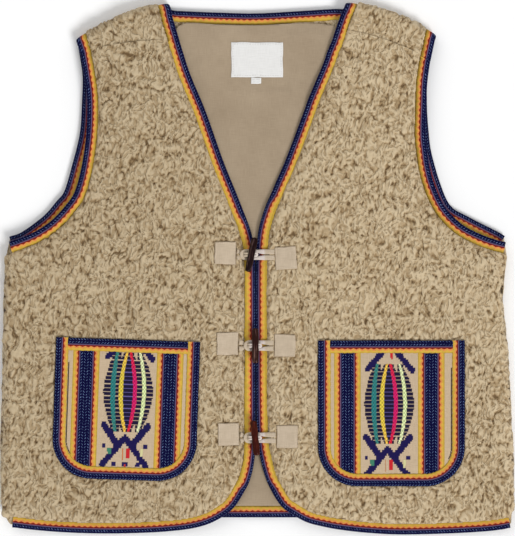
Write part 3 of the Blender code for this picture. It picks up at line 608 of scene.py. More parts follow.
shade.color_ramp.elements.new(0.68).color = linear(190, 167, 132)
grooved = blend_colour(tree, calc(tree, "MULTIPLY", fibre, 0.3), shade.outputs["Color"],
                       linear(152, 126, 90))
across = node(tree, "ShaderNodeSeparateXYZ", {0: place}).outputs["X"]
# Painted shade: the fleece's colour is mixed toward dark brown, from none at X 0.1 m to 12 % at X
# -0.14 m, so it is darker toward the left, where less light falls.
painted_left_shade = node(tree, "ShaderNodeMapRange", {"Value": across, "From Min": -0.14, "From Max": 0.1,
                                               "To Min": 0.12, "To Max": 0.0})
tree.links.new(blend_colour(tree, painted_left_shade.outputs["Result"], grooved, (0.06, 0.04, 0.02, 1)),
               shader.inputs["Base Color"])
relief = calc(tree, "ADD", calc(tree, "MULTIPLY", tuft, 1.0), calc(tree, "MULTIPLY", fibre, 0.3))
add_bump(tree, shader, 0.9, 0.0013, relief)

paths = garment_paths()
left_side = smooth_path(SIDE_LEFT[:-1])
right_side = smooth_path(SIDE_RIGHT[1:])
back_edges = [evened(paths[key], STATION_STEP) for key in
              ("back_hem", "back_armhole_right", "neck", "back_armhole_left")]
back_outline = np.vstack([offset(back_edges[0], TONGUE_START), right_side,
                          *[offset(edge, TONGUE_START) for edge in back_edges[1:]], left_side])


def graded(stops):
    """Coordinates that run through the stops, each (end, step) from the last."""
    lines = [np.array([stops[0][0]])]
    for (start, _), (end, step) in zip(stops[:-1], stops[1:]):
        lines.append(np.linspace(start, end, round((end - start) / step) + 1)[1:])
    return np.concatenate(lines)


BACK_PILE = 3.8
BACK_PILE_LEVEL = 0.28
BACK_SEED = 11
BACK_COLUMNS = graded(((-286, 0), (-206, 3.2), (-82, 1.35), (82, 8), (202, 1.35), (286, 3.2)))
BACK_ROWS = graded(((-275, 0), (270, 5.5), (352, 1.5)))
bm, flat = cut_cloth(back_outline, BACK_COLUMNS, BACK_ROWS)
gap = np.min([nearest(flat, edge)[0] for edge in back_edges], axis=0)
low, high = back_heights(flat, gap < TONGUE_END, back_edges, (left_side, right_side))
pile = curls(flat, BACK_SEED)
over = np.zeros(len(flat))
for side in SHOULDERS:
    axis, out, _, _ = shoulder_frame(side)
    mine = (flat[:, 0] < 0) == (side == "left")
    over = np.where(mine, smoothstep(((flat - axis) @ out + 2) / 6), over)
lift = np.clip(np.maximum(over, low / 4), 0, 1) * smoothstep((gap - TONGUE_END) / 3.0)
outer = place_back(flat, low)
outer -= normals_of(bm, outer) * (lift * (BACK_PILE * (pile - BACK_PILE_LEVEL)))[:, None]
outer[:, 2] = np.maximum(outer[:, 2], 0)
back = finish_mesh(bm, "back", outer, place_back(flat, high), pile)
claim(back, fleece, "fleece", "back_panel")


# Fronts
# Two fronts of the same curly fleece, cut edge to edge at the centre and bound all round but for
# the side seams. The pile stands up past the ribbons, and lies pressed flat under the pockets and
# the closure patches that are sewn onto it.

# Each pocket: centre x and y, width, height, turn in degrees
POCKETS = {
    "left": (-144.5, -155.5, 158.0, 154.0, -2.0),
    "right": (147.0, -159.5, 161.0, 160.0, 0.0),
}
POCKET_CORNER = 43.0
# The fleece rounds the hem corner beside the ribbon's end, from the side seam down (x, y)
CORNER_LEFT = ((-277.5, -273), (-274.5, -278.5), (-271.5, -282.5))
CORNER_RIGHT = ((279.3, -280), (279.6, -272))
PATCH_CENTRES = ((-35.6, 16.4), (31.1, 11.0), (-32.9, -83.1), (30.1, -85.1), (-31.7, -182.5),
                 (32.5, -185.2))
PATCH_WIDTH = 23.0
PATCH_HEIGHT = 24.5
PILE_STEP = 1.16
FRONT_SEEDS = {"left": 31, "right": 57}
FRONT_PILE = 4.0
FRONT_PILE_LEVEL = 0.34
EDGE_SWELL = 1.4
HEM_SWELL = 1.2
HEM_TOP = -240
SIDE_RAGGED = 1.7
SIDE_LOWERED = 1.3


def bound_outline(pieces, bound):
    """The outline through bound edges and sides in turn, and which of its points are thin.

    A bound edge reaches its outline as a thin tongue, and its cloth thickens past both its ends.
    """
    points, thin = [], []
    for path, is_bound in zip(pieces, bound):
        if not is_bound:
            points.append(path)
            thin += [False] * len(path)
            continue
        ends = [offset(path, distance) for distance in (PILE_START, TONGUE_END)]
        points += [ends[0][:1], ends[1][:1], offset(path, TONGUE_START), ends[1][-1:], ends[0][-1:]]
        thin += [False, True] + [True] * len(path) + [True, False]
    return np.vstack(points), np.array(thin)


def turned(points, centre, degrees):
    """Points given about a centre, turned about it."""
    angle = math.radians(degrees)
    across = np.array((math.cos(angle), math.sin(angle)))
    up = np.array((-across[1], across[0]))
    points = np.array(points, float)
    return np.array(centre) + points[:, :1] * across + points[:, 1:] * up


def pocket_edge(width, height, inset=0.0, step=4.0):
    """Left top corner, down, round the bottom and up: half widths inside the inset."""
    right, low, high = width / 2 - inset, -height / 2 + inset, height / 2
    radius = POCKET_CORNER - inset
    points = [(-right, high)]
    for corner, start in ((-right + radius, 180), (right - radius, 270)):
        for degrees in np.arange(start, start + 91, step):
            angle = math.radians(degrees)
            points.append((corner + radius * math.cos(angle), low + radius * (1 + math.sin(angle))))
    return np.array(points + [(right, high)])


def box_gap(points, centre, width, height, degrees=0.0):
    """Distance outside a turned rectangle, negative inside it."""
    local = turned(points - centre, (0, 0), -degrees)
    past = np.abs(local) - (width / 2, height / 2)
    return np.maximum(past[:, 0], past[:, 1])


def stand_up(bm, top, under):
    """Sets the grid on its top places and closes it with a rim and a foot on the lower ones."""
    source = bm.verts.layers.int.new("pattern_point")
    for k, vert in enumerate(bm.verts):
        vert[source] = k
        vert.co = top[k]
    made = bmesh.ops.extrude_edge_only(bm, edges=[edge for edge in bm.edges if edge.is_boundary])
    lower = {part for part in made["geom"] if isinstance(part, bmesh.types.BMVert)}
    for vert in lower:
        vert.co = under[vert[source]]
    foot = [part for part in made["geom"]
            if isinstance(part, bmesh.types.BMEdge) and lower.issuperset(part.verts)]
    bmesh.ops.contextual_create(bm, geom=foot)
    bmesh.ops.recalc_face_normals(bm, faces=bm.faces[:])


for side in SHOULDERS:
    edge, armhole = paths["front_" + side], paths["armhole_" + side]
    flank = smooth_path(SIDE_LEFT + CORNER_LEFT if side == "left" else CORNER_RIGHT + SIDE_RIGHT)
    if side == "left":
        outline, _ = bound_outline((edge, armhole, flank), (True, True, False))
    else:
        outline, _ = bound_outline((edge, flank, armhole), (True, False, True))
    low_corner, high_corner = outline.min(axis=0), outline.max(axis=0)
    bm, flat = cut_cloth(outline, *[graded(((low - 1, 0), (high + 1, PILE_STEP)))
                                    for low, high in zip(low_corner, high_corner)])
    gap = np.minimum(nearest(flat, edge)[0], nearest(flat, armhole)[0])
    edges = ((edge, edge_middle(edge)), (armhole, np.full(len(armhole), FRONT_MIDDLE)))
    low, high = front_heights(flat, gap < TONGUE_END - 0.3, edges, flank)
    pile = curls(flat, FRONT_SEEDS[side])
    x, y, width, height, turn = POCKETS[side]
    pocket = turned(pocket_edge(width, height), (x, y), turn)
    beside = nearest(flat, ringed(pocket))[0]
    beside = np.where(inside(flat, pocket), -beside, beside)
    press = smoothstep((beside + 1.2) / 3.5)
    for centre in PATCH_CENTRES:
        beside = box_gap(flat, np.array(centre), PATCH_WIDTH, PATCH_HEIGHT)
        press *= smoothstep((beside + 0.6) / 2.6)
    puff = smoothstep((gap - TONGUE_END) / 2.2) * press
    hem = np.exp(-((gap - 22) / 9) ** 2) * (flat[:, 1] < HEM_TOP)
    rounding = 1 - np.clip(nearest(flat, flank)[0] / 14, 0, 1)
    rise = puff * (FRONT_PILE * (pile - FRONT_PILE_LEVEL)
                   + EDGE_SWELL * smoothstep((PILE_FULL - gap) / 20) + HEM_SWELL * hem
                   + rounding * (SIDE_RAGGED * soft_noise(flat, 8, 77) - SIDE_LOWERED))
    top = place_front(flat, high)
    top += normals_of(bm, top) * rise[:, None]
    stand_up(bm, top, place_front(flat, low))
    front = to_piece(bm, "front-" + side, pile)
    claim(front, fleece, "fleece", "front_" + side)

# Lining
# The smooth inner side of the back, a plain beige weave that shows in the neck opening and between
# the front hem corners. It lies flat with soft creases, sewn down under the neck binding.

LINING_LOW = 8.8
LINING_THICK = 1.0
# Lining outline, kept clear of the bindings and the shoulder turn-overs (x, y)
LINING = (
    (-268, -255), (-140, -260.8), (0, -261.8), (135, -260.8), (268, -255), (277, -200),
    (272, -92), (266, -39), (266, 18), (240, 36), (207, 52), (193, 72), (182, 106),
    (175, 148), (173.5, 212), (175, 233), (101, 255), (95, 253), (86, 266), (50, 269.5),
    (0, 267.2), (-41, 268), (-78, 269.5), (-90, 262), (-95, 249), (-180, 231), (-180, 212),
    (-180.5, 148), (-190, 110), (-200, 78), (-225, 50), (-250, 29), (-272, 10), (-276, -79),
    (-278, -200),
)


def weave_group():
    """Plain weave of threads at a pitch: height of the threads, and a value for each thread."""
    tree = bpy.data.node_groups.new("plain weave", "ShaderNodeTree")
    tree.interface.new_socket("Vector", in_out="INPUT", socket_type="NodeSocketVector")
    tree.interface.new_socket("Pitch", in_out="INPUT", socket_type="NodeSocketFloat")
    tree.interface.new_socket("Height", in_out="OUTPUT", socket_type="NodeSocketFloat")
    tree.interface.new_socket("Slub", in_out="OUTPUT", socket_type="NodeSocketFloat")
    given = tree.nodes.new("NodeGroupInput")
    result = tree.nodes.new("NodeGroupOutput")
    split = node(tree, "ShaderNodeSeparateXYZ", {0: given.outputs["Vector"]})
    waves = [calc(tree, "SINE", calc(tree, "MULTIPLY", math.pi, calc(tree, "DIVIDE",
             split.outputs[k], given.outputs["Pitch"]))) for k in (0, 1)]
    over = calc(tree, "GREATER_THAN", calc(tree, "MULTIPLY", *waves), 0.0)
    warp, weft = (calc(tree, "ABSOLUTE", wave) for wave in waves)
    height = calc(tree, "ADD", calc(tree, "MULTIPLY", warp, over),
                  calc(tree, "MULTIPLY", weft, calc(tree, "SUBTRACT", 1.0, over)))
    slubs = [noise(tree, node(tree, "ShaderNodeMapping", {"Vector": given.outputs["Vector"],
             "Scale": scale}).outputs[0], 1.0, 1.0) for scale in ((1500, 90, 1), (90, 1500, 1))]
    tree.links.new(height, result.inputs["Height"])
    tree.links.new(calc(tree, "MULTIPLY", calc(tree, "ADD", *slubs), 0.5), result.inputs["Slub"])
    return tree


def woven(tree, vector, pitch):
    """The plain weave on a vector in metres: its height and its slub."""
    group = node(tree, "ShaderNodeGroup", node_tree=WEAVE)
    tree.links.new(vector, group.inputs["Vector"])
    group.inputs["Pitch"].default_value = pitch
    return group.outputs["Height"], group.outputs["Slub"]


WEAVE = weave_group()
smooth_cloth, tree, shader, place = cloth_shader("smooth lining", 0.9, 0.2)
thread, slub = woven(tree, place, 0.0008)
cloudy = noise(tree, place, 26, 3.0)
tone = calc(tree, "ADD", calc(tree, "MULTIPLY", slub, 0.6), calc(tree, "MULTIPLY", cloudy, 0.5))
tree.links.new(blend_colour(tree, tone, linear(134, 115, 92), linear(190, 171, 146)),
               shader.inputs["Base Color"])
fuzz = noise(tree, place, 700, 3.0)
add_bump(tree, shader, 0.5, 0.0003, calc(tree, "ADD", thread, fuzz))

outline = smooth_path(LINING + LINING[:1], 5.0)[:-1]
bm, flat = cut_cloth(outline, graded(((-282, 0), (-105, 9), (105, 2.2), (282, 9))),
                     graded(((-266, 0), (-235, 3), (-20, 9), (275, 2.2))))
rim = np.clip(nearest(flat, ringed(outline))[0] / 12, 0, 1)
shown = rim * (flat[:, 1] > 20)
slanted = flat @ np.array(((0.94, 0.34), (-0.34, 0.94))).T
crease = 1.3 * soft_noise(slanted / (1.0, 2.6), 21, 71) + 0.35 * soft_noise(flat, 11, 72)
rise = shown * np.clip(0.5 + crease, 0, 1.6)
low = place_front(flat, np.full(len(flat), LINING_LOW))
high = place_front(flat, np.full(len(flat), LINING_LOW + LINING_THICK))
beside_label = smoothstep(box_gap(flat, np.array((-0.5, 226)), 62, 50) / 8)
high[:, 2] += rise * beside_label * np.where(np.abs(flat[:, 0]) < 100, 1.0, 0)
lining = finish_mesh(bm, "lining", high, low, rise)
claim(lining, smooth_cloth, "lining", "back_lining")

# Ribbon bindings
# A woven folk ribbon 32 mm wide, folded over every cut edge: navy with pale-blue herringbone dashes
# at the fold, then a grey line, a red zigzag and an orange and yellow scalloped border. It is
# stitched through along its inner edges, and meets itself at the shoulder seams.

RIBBON_WIDTH = 12.6
RIBBON_REPEAT = 6.4
RIBBON_STEP = 1.6
# Where each of the ribbon's rows starts, out from its middle line
GREY_START, RED_START, TEETH_START, LOBE_START, EDGE_START = 6.75, 7.9, 8.9, 9.8, 13.4
TOOTH_SLOPE = 0.42
LOBE_DEPTH = 2.2
NAVY, PALE_BLUE = linear(4, 4, 54), linear(134, 160, 214)
GREY_LILAC, BRICK_RED = linear(100, 86, 118), linear(134, 36, 24)
ORANGE, GOLD, DULL_GOLD = linear(238, 150, 84), linear(226, 182, 76), linear(200, 166, 64)
# How far the rows are drawn nearer the fold than their own places, by edge
ROW_SHIFT = 0.8
CLOSED_SHIFT = 1.9
CLOSED_NARROW = 1.4
BACK_ARMHOLE_SHIFT = 1.3


def ribbon_group():
    """The ribbon's weave, from metres along it and metres out from its middle line."""
    tree = bpy.data.node_groups.new("folk ribbon", "ShaderNodeTree")
    for name in ("Along", "Across"):
        tree.interface.new_socket(name, in_out="INPUT", socket_type="NodeSocketFloat")
    tree.interface.new_socket("Color", in_out="OUTPUT", socket_type="NodeSocketColor")
    tree.interface.new_socket("Height", in_out="OUTPUT", socket_type="NodeSocketFloat")
    given = tree.nodes.new("NodeGroupInput")
    result = tree.nodes.new("NodeGroupOutput")
    along = calc(tree, "MULTIPLY", given.outputs["Along"], 1000.0)
    across = calc(tree, "MULTIPLY", given.outputs["Across"], 1000.0)
    away = calc(tree, "ABSOLUTE", across)
    tooth = calc(tree, "PINGPONG", along, RIBBON_REPEAT / 2)
    scallop = calc(tree, "POWER", calc(tree, "DIVIDE", tooth, RIBBON_REPEAT / 2), 0.6)
    place = node(tree, "ShaderNodeCombineXYZ", {0: along, 1: across, 2: 0.0}).outputs[0]
    ragged = calc(tree, "MULTIPLY", calc(tree, "SUBTRACT", noise(tree, place, 1.1), 0.5), 0.5)
    reach = calc(tree, "ADD", away, ragged)

    def beyond(start, soft=0.18):
        """1 past a distance from the middle line, with a woven edge."""
        return ranged(tree, reach, start - soft, start + soft, interpolation_type="SMOOTHSTEP")

    slant = calc(tree, "ADD", along, calc(tree, "ABSOLUTE", calc(tree, "SUBTRACT", away, 3.3)))
    dash = calc(tree, "GREATER_THAN", calc(tree, "SINE", calc(tree, "MULTIPLY", slant, 1.96)), 0.62)
    row = calc(tree, "GREATER_THAN", calc(tree, "ABSOLUTE", calc(tree, "SINE", calc(
        tree, "MULTIPLY", away, math.pi / 3.3))), 0.72)
    worn = ranged(tree, noise(tree, place, 0.7, 2.0), 0.38, 0.72)
    dashes = calc(tree, "MULTIPLY", calc(tree, "MULTIPLY", dash, row), worn)
    navy = blend_colour(tree, dashes, NAVY, PALE_BLUE)
    grey = blend_colour(tree, beyond(GREY_START), navy, GREY_LILAC)
    red = blend_colour(tree, beyond(RED_START), grey, BRICK_RED)
    teeth = calc(tree, "ADD", TEETH_START, calc(tree, "MULTIPLY", tooth, TOOTH_SLOPE))
    orange = blend_colour(tree, calc(tree, "GREATER_THAN", reach, teeth), red, ORANGE)
    lobe = calc(tree, "ADD", LOBE_START, calc(tree, "MULTIPLY", scallop, LOBE_DEPTH))
    golden = blend_colour(tree, calc(tree, "GREATER_THAN", reach, lobe), orange, GOLD)
    edge = blend_colour(tree, beyond(EDGE_START), golden, DULL_GOLD)
    sheen = node(tree, "ShaderNodeMapRange", {"Value": noise(tree, place, 0.22, 3.0),
                 "To Min": 0.68, "To Max": 1.12}).outputs["Result"]
    tint = node(tree, "ShaderNodeCombineColor", {0: sheen, 1: sheen, 2: sheen}).outputs[0]
    tinted = blend_colour(tree, 1.0, edge, tint, "MULTIPLY")
    ribs = calc(tree, "SINE", calc(tree, "MULTIPLY", calc(tree, "ADD", along, calc(
        tree, "MULTIPLY", across, 0.5)), 12.0))
    raised = calc(tree, "ADD", calc(tree, "MULTIPLY", ribs, 0.25), calc(tree, "ADD", dashes,
                  calc(tree, "MULTIPLY", beyond(RED_START), 0.5)))
    tree.links.new(tinted, result.inputs["Color"])
    tree.links.new(calc(tree, "ADD", raised, noise(tree, place, 2.5, 2.0)), result.inputs["Height"])
    return tree


RIBBON = ribbon_group()
ribbon_cloth, tree, shader, place = cloth_shader("woven ribbon", 0.75, 0.0)
shader.inputs["Specular IOR Level"].default_value = 0.08
split = node(tree, "ShaderNodeSeparateXYZ", {0: node(tree, "ShaderNodeUVMap",
             uv_map="ribbon").outputs[0]})
weave = node(tree, "ShaderNodeGroup", node_tree=RIBBON)
tree.links.new(split.outputs["X"], weave.inputs["Along"])
tree.links.new(split.outputs["Y"], weave.inputs["Across"])
tree.links.new(weave.outputs["Color"], shader.inputs["Base Color"])
add_bump(tree, shader, 0.6, 0.00035, weave.outputs["Height"])

# The ribbon's section, lower inner edge to upper: distance in from the fold, height over the middle
SECTION = ((0.14, -1.5), (1.0, -2.6), (0.55, -2.65), (0.3, -2.5), (0.1, -1.95), (0.025, -1.1),
           (0.0, 0.0), (0.025, 1.1), (0.1, 1.95), (0.2, 2.4), (0.35, 2.6), (0.5, 2.68),
           (0.65, 2.68), (0.8, 2.6), (0.92, 2.45), (1.0, 2.2), (1.0, 1.7))


def strip(name, stations, rows):
    """A grid strip whose vertices follow stations by rows of places, with its UV in metres.

    stations is a list of (places, along, across) with one entry of each for every row.
    """
    bm = bmesh.new()
    bmesh.ops.create_grid(bm, x_segments=len(stations) - 1, y_segments=rows - 1, size=1.0)
    mesh = bpy.data.meshes.new(name)
    bm.to_mesh(mesh)
    bm.free()
    at = np.empty(len(mesh.vertices) * 3)
    mesh.vertices.foreach_get("co", at)
    at = at.reshape(-1, 3)
    column = np.rint((at[:, 0] + 1) / 2 * (len(stations) - 1)).astype(int)
    row = np.rint((at[:, 1] + 1) / 2 * (rows - 1)).astype(int)
    places = np.array([station[0] for station in stations])[column, row]
    mesh.vertices.foreach_set("co", ((places - (*MIDDLE, 0)) * MM).ravel())
    uv = np.stack([np.array([station[k] for station in stations])[column, row] for k in (1, 2)],
                  axis=1) * MM
    corner = np.empty(len(mesh.loops), int)
    mesh.loops.foreach_get("vertex_index", corner)
    mesh.uv_layers.new(name="ribbon").data.foreach_set("uv", uv[corner].ravel())
    mesh.shade_smooth()
    piece = bpy.data.objects.new(name, mesh)
    bpy.context.collection.objects.link(piece)
    return piece


def face_out(piece, row_up):
    """Turns the piece's faces over if those that should look up look down."""
    facing = [face.normal.z for face in piece.data.polygons if row_up(face.center)]
    if sum(facing) < 0:
        piece.data.flip_normals()


def bound_strip(path, middles, place, flip, shifts=ROW_SHIFT, narrow=0.0):
    """Stations of the ribbon's section along a bound edge, its middle line off the fold."""
    normals = cloth_normals(path)
    middles, shifts, narrow = (np.broadcast_to(row, len(path)) for row in (middles, shifts, narrow))
    lengths = run_length(path)
    share = np.array([row[0] for row in SECTION])
    over = np.array([row[1] for row in SECTION])
    wander = soft_noise(np.stack([lengths, middles], axis=1), 14, 81)
    stations = []
    for k, (point, normal, middle, along) in enumerate(zip(path, normals, middles, lengths)):
        lobe = abs(math.sin(math.pi * along / RIBBON_REPEAT))
        width = RIBBON_WIDTH + 0.45 * wander[k] + 0.5 * lobe - narrow[k]
        puff = 1 + 0.03 * math.sin(along / 2.1) * np.sign(over)
        inward = (share * (width + narrow[k] / 2) - narrow[k] / 2)[:, None]
        places = place(point + inward * normal, middle + over * puff * flip)
        bend = np.concatenate([[0], np.cumsum(np.hypot(np.diff(share * width), np.diff(over)))])
        across = bend - np.interp(0.0, over[5:8], bend[5:8])
        across = np.sign(across) * (np.abs(across) + shifts[k])
        stations.append((places, np.full(len(share), along), across))
    return stations


def add_binding(name, stations, node_name, row_up):
    """A ribbon piece on the stations, counted along it from its start."""
    stations = [(places, np.full(len(across), k * RIBBON_STEP), across)
                for k, (places, _, across) in enumerate(stations)]
    piece = strip(name, stations, len(SECTION))
    face_out(piece, row_up)
    claim(piece, ribbon_cloth, "ribbon", node_name)


for side in SHOULDERS:
    edge = evened(paths["front_" + side], RIBBON_STEP)
    closed = smoothstep((16 - np.abs(edge[:, 0])) / 6)
    edge = bound_strip(edge, edge_middle(edge), place_front, 1,
                       ROW_SHIFT + CLOSED_SHIFT * closed, CLOSED_NARROW * closed)
    add_binding("front-ribbon-" + side, edge, "front_binding_" + side,
                lambda centre: centre.z > 0.0150)
    back = evened(paths["back_armhole_" + side], RIBBON_STEP)
    axis, out, _, _ = shoulder_frame(side)
    turned_over = smoothstep(((back - axis) @ out + 2) / 6)
    back = bound_strip(back, BACK_MIDDLE, place_back, 1,
                       BACK_ARMHOLE_SHIFT + (ROW_SHIFT - BACK_ARMHOLE_SHIFT) * turned_over)
    front = evened(paths["armhole_" + side], RIBBON_STEP)
    front = bound_strip(front, FRONT_MIDDLE, place_front, -1)
    whole = back[::-1] + front[1:] if side == "left" else back + front[::-1][1:]
    add_binding("armhole-ribbon-" + side, whole, "armhole_binding_" + side,
                lambda centre: centre.z > 0.0150)
neck = evened(paths["neck"], RIBBON_STEP)
add_binding("neck-ribbon", bound_strip(neck, BACK_MIDDLE, place_back, 1), "neck_binding",
            lambda centre: centre.z > 0.0065 and abs(centre.x) < 0.06)
hem = evened(paths["back_hem"], RIBBON_STEP)
add_binding("back-hem-ribbon", bound_strip(hem, BACK_MIDDLE, place_back, 1), "back_hem_binding",
            lambda centre: centre.z > 0.0065)


# Pockets
# Two patch pockets of a folk-woven panel: two broad navy stripes with scalloped borders between
# which a comb-edged eye stands over a stepped cross. The folk ribbon is folded round the sides and
# bottom, and a second length of it crosses the top.

POCKET_RIBBON = 13.5
POCKET_LOW = 19.3
POCKET_THICK = 2.2
# Middle of each panel's motif from the middle of its pocket, and x of the stripes' middle
MOTIF_MIDDLE = {"left": (3.0, 19.5), "right": (-1.6, 10.6)}
STRIPE_MIDDLE = {"left": 0.9, "right": -2.4}
MOTIF_HALF = 43.7
STITCH = (1.1, 2.2)
BAR_PITCH, BAR_HEIGHT = 4.4, 3.7
BAR_NAVY, CORE_LILAC, BAND_NAVY = linear(6, 4, 50), linear(104, 96, 160), linear(8, 4, 76)
SLIT_INSET, SLIT_HALF, SLIT_REACH = 1.8, 0.55, 50
PANEL_STEP = 0.6
# Columns of the eye: x at its ends, x at its middle, width, middle's colour, ends' colour
MOTIF_COLUMNS = (
    (-14.0, -17.8, 5.4, (34, 116, 116), (52, 120, 110)),
    (-3.3, -9.1, 4.6, (206, 184, 62), (226, 180, 70)),
    (0.2, 6.4, 4.6, (196, 18, 96), (206, 30, 46)),
    (10.3, 16.4, 4.2, (204, 218, 156), (212, 216, 170)),
)
# Stepped bands of the cross: start, end, half width
MOTIF_BANDS = (
    ((-26, -37), (-12, -57), 3.7), ((22, -37), (6, -57), 3.7), ((-2.7, -50), (-27, -80), 3.4),
    ((-2.7, -50), (21.5, -81.5), 3.4), ((-24.5, 38), (-8, 57), 3.3), ((24.5, 36.5), (8, 55.5), 3.3),
)
# Small woven marks: x, y, half width, half height, colour
MOTIF_MARKS = (
    (1.8, 53, 1.6, 3.6, (206, 34, 44)), (-26, -59, 1.7, 2.3, (20, 16, 84)),
    (19.5, -59, 2.2, 2.3, (20, 16, 84)),
    (-19.5, -64, 2.2, 3.2, (60, 130, 104)), (15.5, -65, 1.7, 4.4, (222, 216, 160)),
    (1.2, -67, 2.2, 5.5, (206, 34, 44)), (-4.6, -68, 0.6, 6.6, (214, 120, 60)),
    (-14.5, -79.5, 2.2, 2.2, (20, 16, 84)), (-2.5, -79.5, 3.3, 2.2, (20, 16, 84)),
    (12.0, -79.5, 2.7, 2.2, (20, 16, 84)), (-2.0, -80.5, 1.1, 2.2, (200, 60, 52)),
)


def motif(local):
    """Colour of the woven motif at each point, and 1 where there is one, by formula.

    Points fall into the weave's own steps, 1.1 mm across and 2.2 mm up.
    """
    steps = (np.floor(local / STITCH) + 0.5) * STITCH
    x, y = steps.T
    colour = np.zeros((len(local), 4))
    share = y / MOTIF_HALF
    swell = np.clip(1 - share * share, 0, 1)
    eye = np.abs(share) < 1
    bar = (np.mod(local[:, 1], BAR_PITCH) < BAR_HEIGHT) & eye
    beside = np.full(len(local), 99.0)
    for end, middle, width, _, _ in MOTIF_COLUMNS:
        beside = np.minimum(beside, np.abs(x - end - (middle - end) * swell) - width / 2)
    comb = bar & (beside < 1.2 + 6.4 * swell ** 1.4)
    colour[comb] = BAR_NAVY
    core = eye & (x > -9.1 * swell) & (x < 6.4 * swell) & (swell > 0.3)
    colour[core & ~comb] = CORE_LILAC
    for end, middle, width, mid_colour, end_colour in MOTIF_COLUMNS:
        centre = end + (middle - end) * swell
        column = eye & (np.abs(local[:, 0] - centre) < width / 2 * (0.55 + 0.45 * swell))
        mixed = np.outer(swell, linear(*mid_colour)) + np.outer(1 - swell, linear(*end_colour))
        stitch = 0.8 + 0.7 * ((np.floor(local[:, 1] / 2.2) + np.floor(local[:, 0] / 1.6)) % 2)
        mixed[:, :3] *= stitch[:, None]
        colour[column] = mixed[column]
    for start, end, half in MOTIF_BANDS:
        line = np.array((start, end), float)
        colour[nearest(steps, line)[0] < half] = BAND_NAVY
    for mark_x, mark_y, half_width, half_height, mark in MOTIF_MARKS:
        spot = np.abs(x - mark_x) / half_width + 0.5 * np.abs(y - mark_y) / half_height < 1.25
        spot &= (np.abs(x - mark_x) <= half_width) & (np.abs(y - mark_y) <= half_height)
        colour[spot] = linear(*mark)
    colour[:, 3] = colour[:, :3].sum(axis=1) > 0
    return colour


panel_cloth, tree, shader, place = cloth_shader("patterned weave", 0.8, 0.0)
shader.inputs["Specular IOR Level"].default_value = 0.08
uv = node(tree, "ShaderNodeUVMap", uv_map="ribbon").outputs[0]
split = node(tree, "ShaderNodeSeparateXYZ", {0: uv})
from_stripe = calc(tree, "SUBTRACT", calc(tree, "ABSOLUTE", split.outputs["X"]), 0.046)
weave = node(tree, "ShaderNodeGroup", node_tree=RIBBON)
tree.links.new(split.outputs["Y"], weave.inputs["Along"])
tree.links.new(from_stripe, weave.inputs["Across"])
thread, slub = woven(tree, uv, 0.0009)
linen_ground = blend_colour(tree, slub, linear(176, 152, 124), linear(222, 200, 170))
plain = calc(tree, "GREATER_THAN", calc(tree, "ABSOLUTE", from_stripe), 0.0146)
striped = blend_colour(tree, plain, weave.outputs["Color"], linen_ground)
marks = node(tree, "ShaderNodeAttribute", attribute_name="motif")
dulled = blend_colour(tree, calc(tree, "MULTIPLY", slub, 0.12), marks.outputs["Color"],
                      linear(120, 104, 96))
figured = blend_colour(tree, marks.outputs["Alpha"], striped, dulled)
tree.links.new(figured, shader.inputs["Base Color"])
relief = calc(tree, "ADD", thread, calc(tree, "MULTIPLY", marks.outputs["Alpha"], 1.2))
relief = calc(tree, "ADD", relief, weave.outputs["Height"])
add_bump(tree, shader, 0.5, 0.0003, relief)

# Profile of the pocket ribbon, outer fold to inner edge: share of its width, height over the fleece
TRIM_SECTION = ((0.02, 0.0), (-0.01, 0.9), (0.0, 1.9), (0.04, 2.6), (0.12, 3.0), (0.3, 3.1),
                (0.55, 3.05), (0.8, 2.9), (0.94, 2.65), (1.0, 2.3), (1.0, 1.6))


def trim_stations(outer, inner, waves):
    """Ribbon laid flat between an outer and an inner line, its inner edge scalloped."""
    stations = []
    for k, (start, end) in enumerate(zip(outer, inner)):
        lobe = 0.035 * abs(math.sin(math.pi * k * RIBBON_STEP / RIBBON_REPEAT))
        share = np.array([row[0] for row in TRIM_SECTION])
        share = share * (1 + lobe) + 0.012 * waves[k]
        rise = POCKET_LOW + np.array([row[1] for row in TRIM_SECTION])
        rise[1:-1] += 0.12 * waves[k]
        flat_points = start + share[:, None] * (end - start)
        stations.append((np.column_stack([flat_points, rise]),
                         np.full(len(share), k * RIBBON_STEP), share * POCKET_RIBBON + 0.4))
    return stations


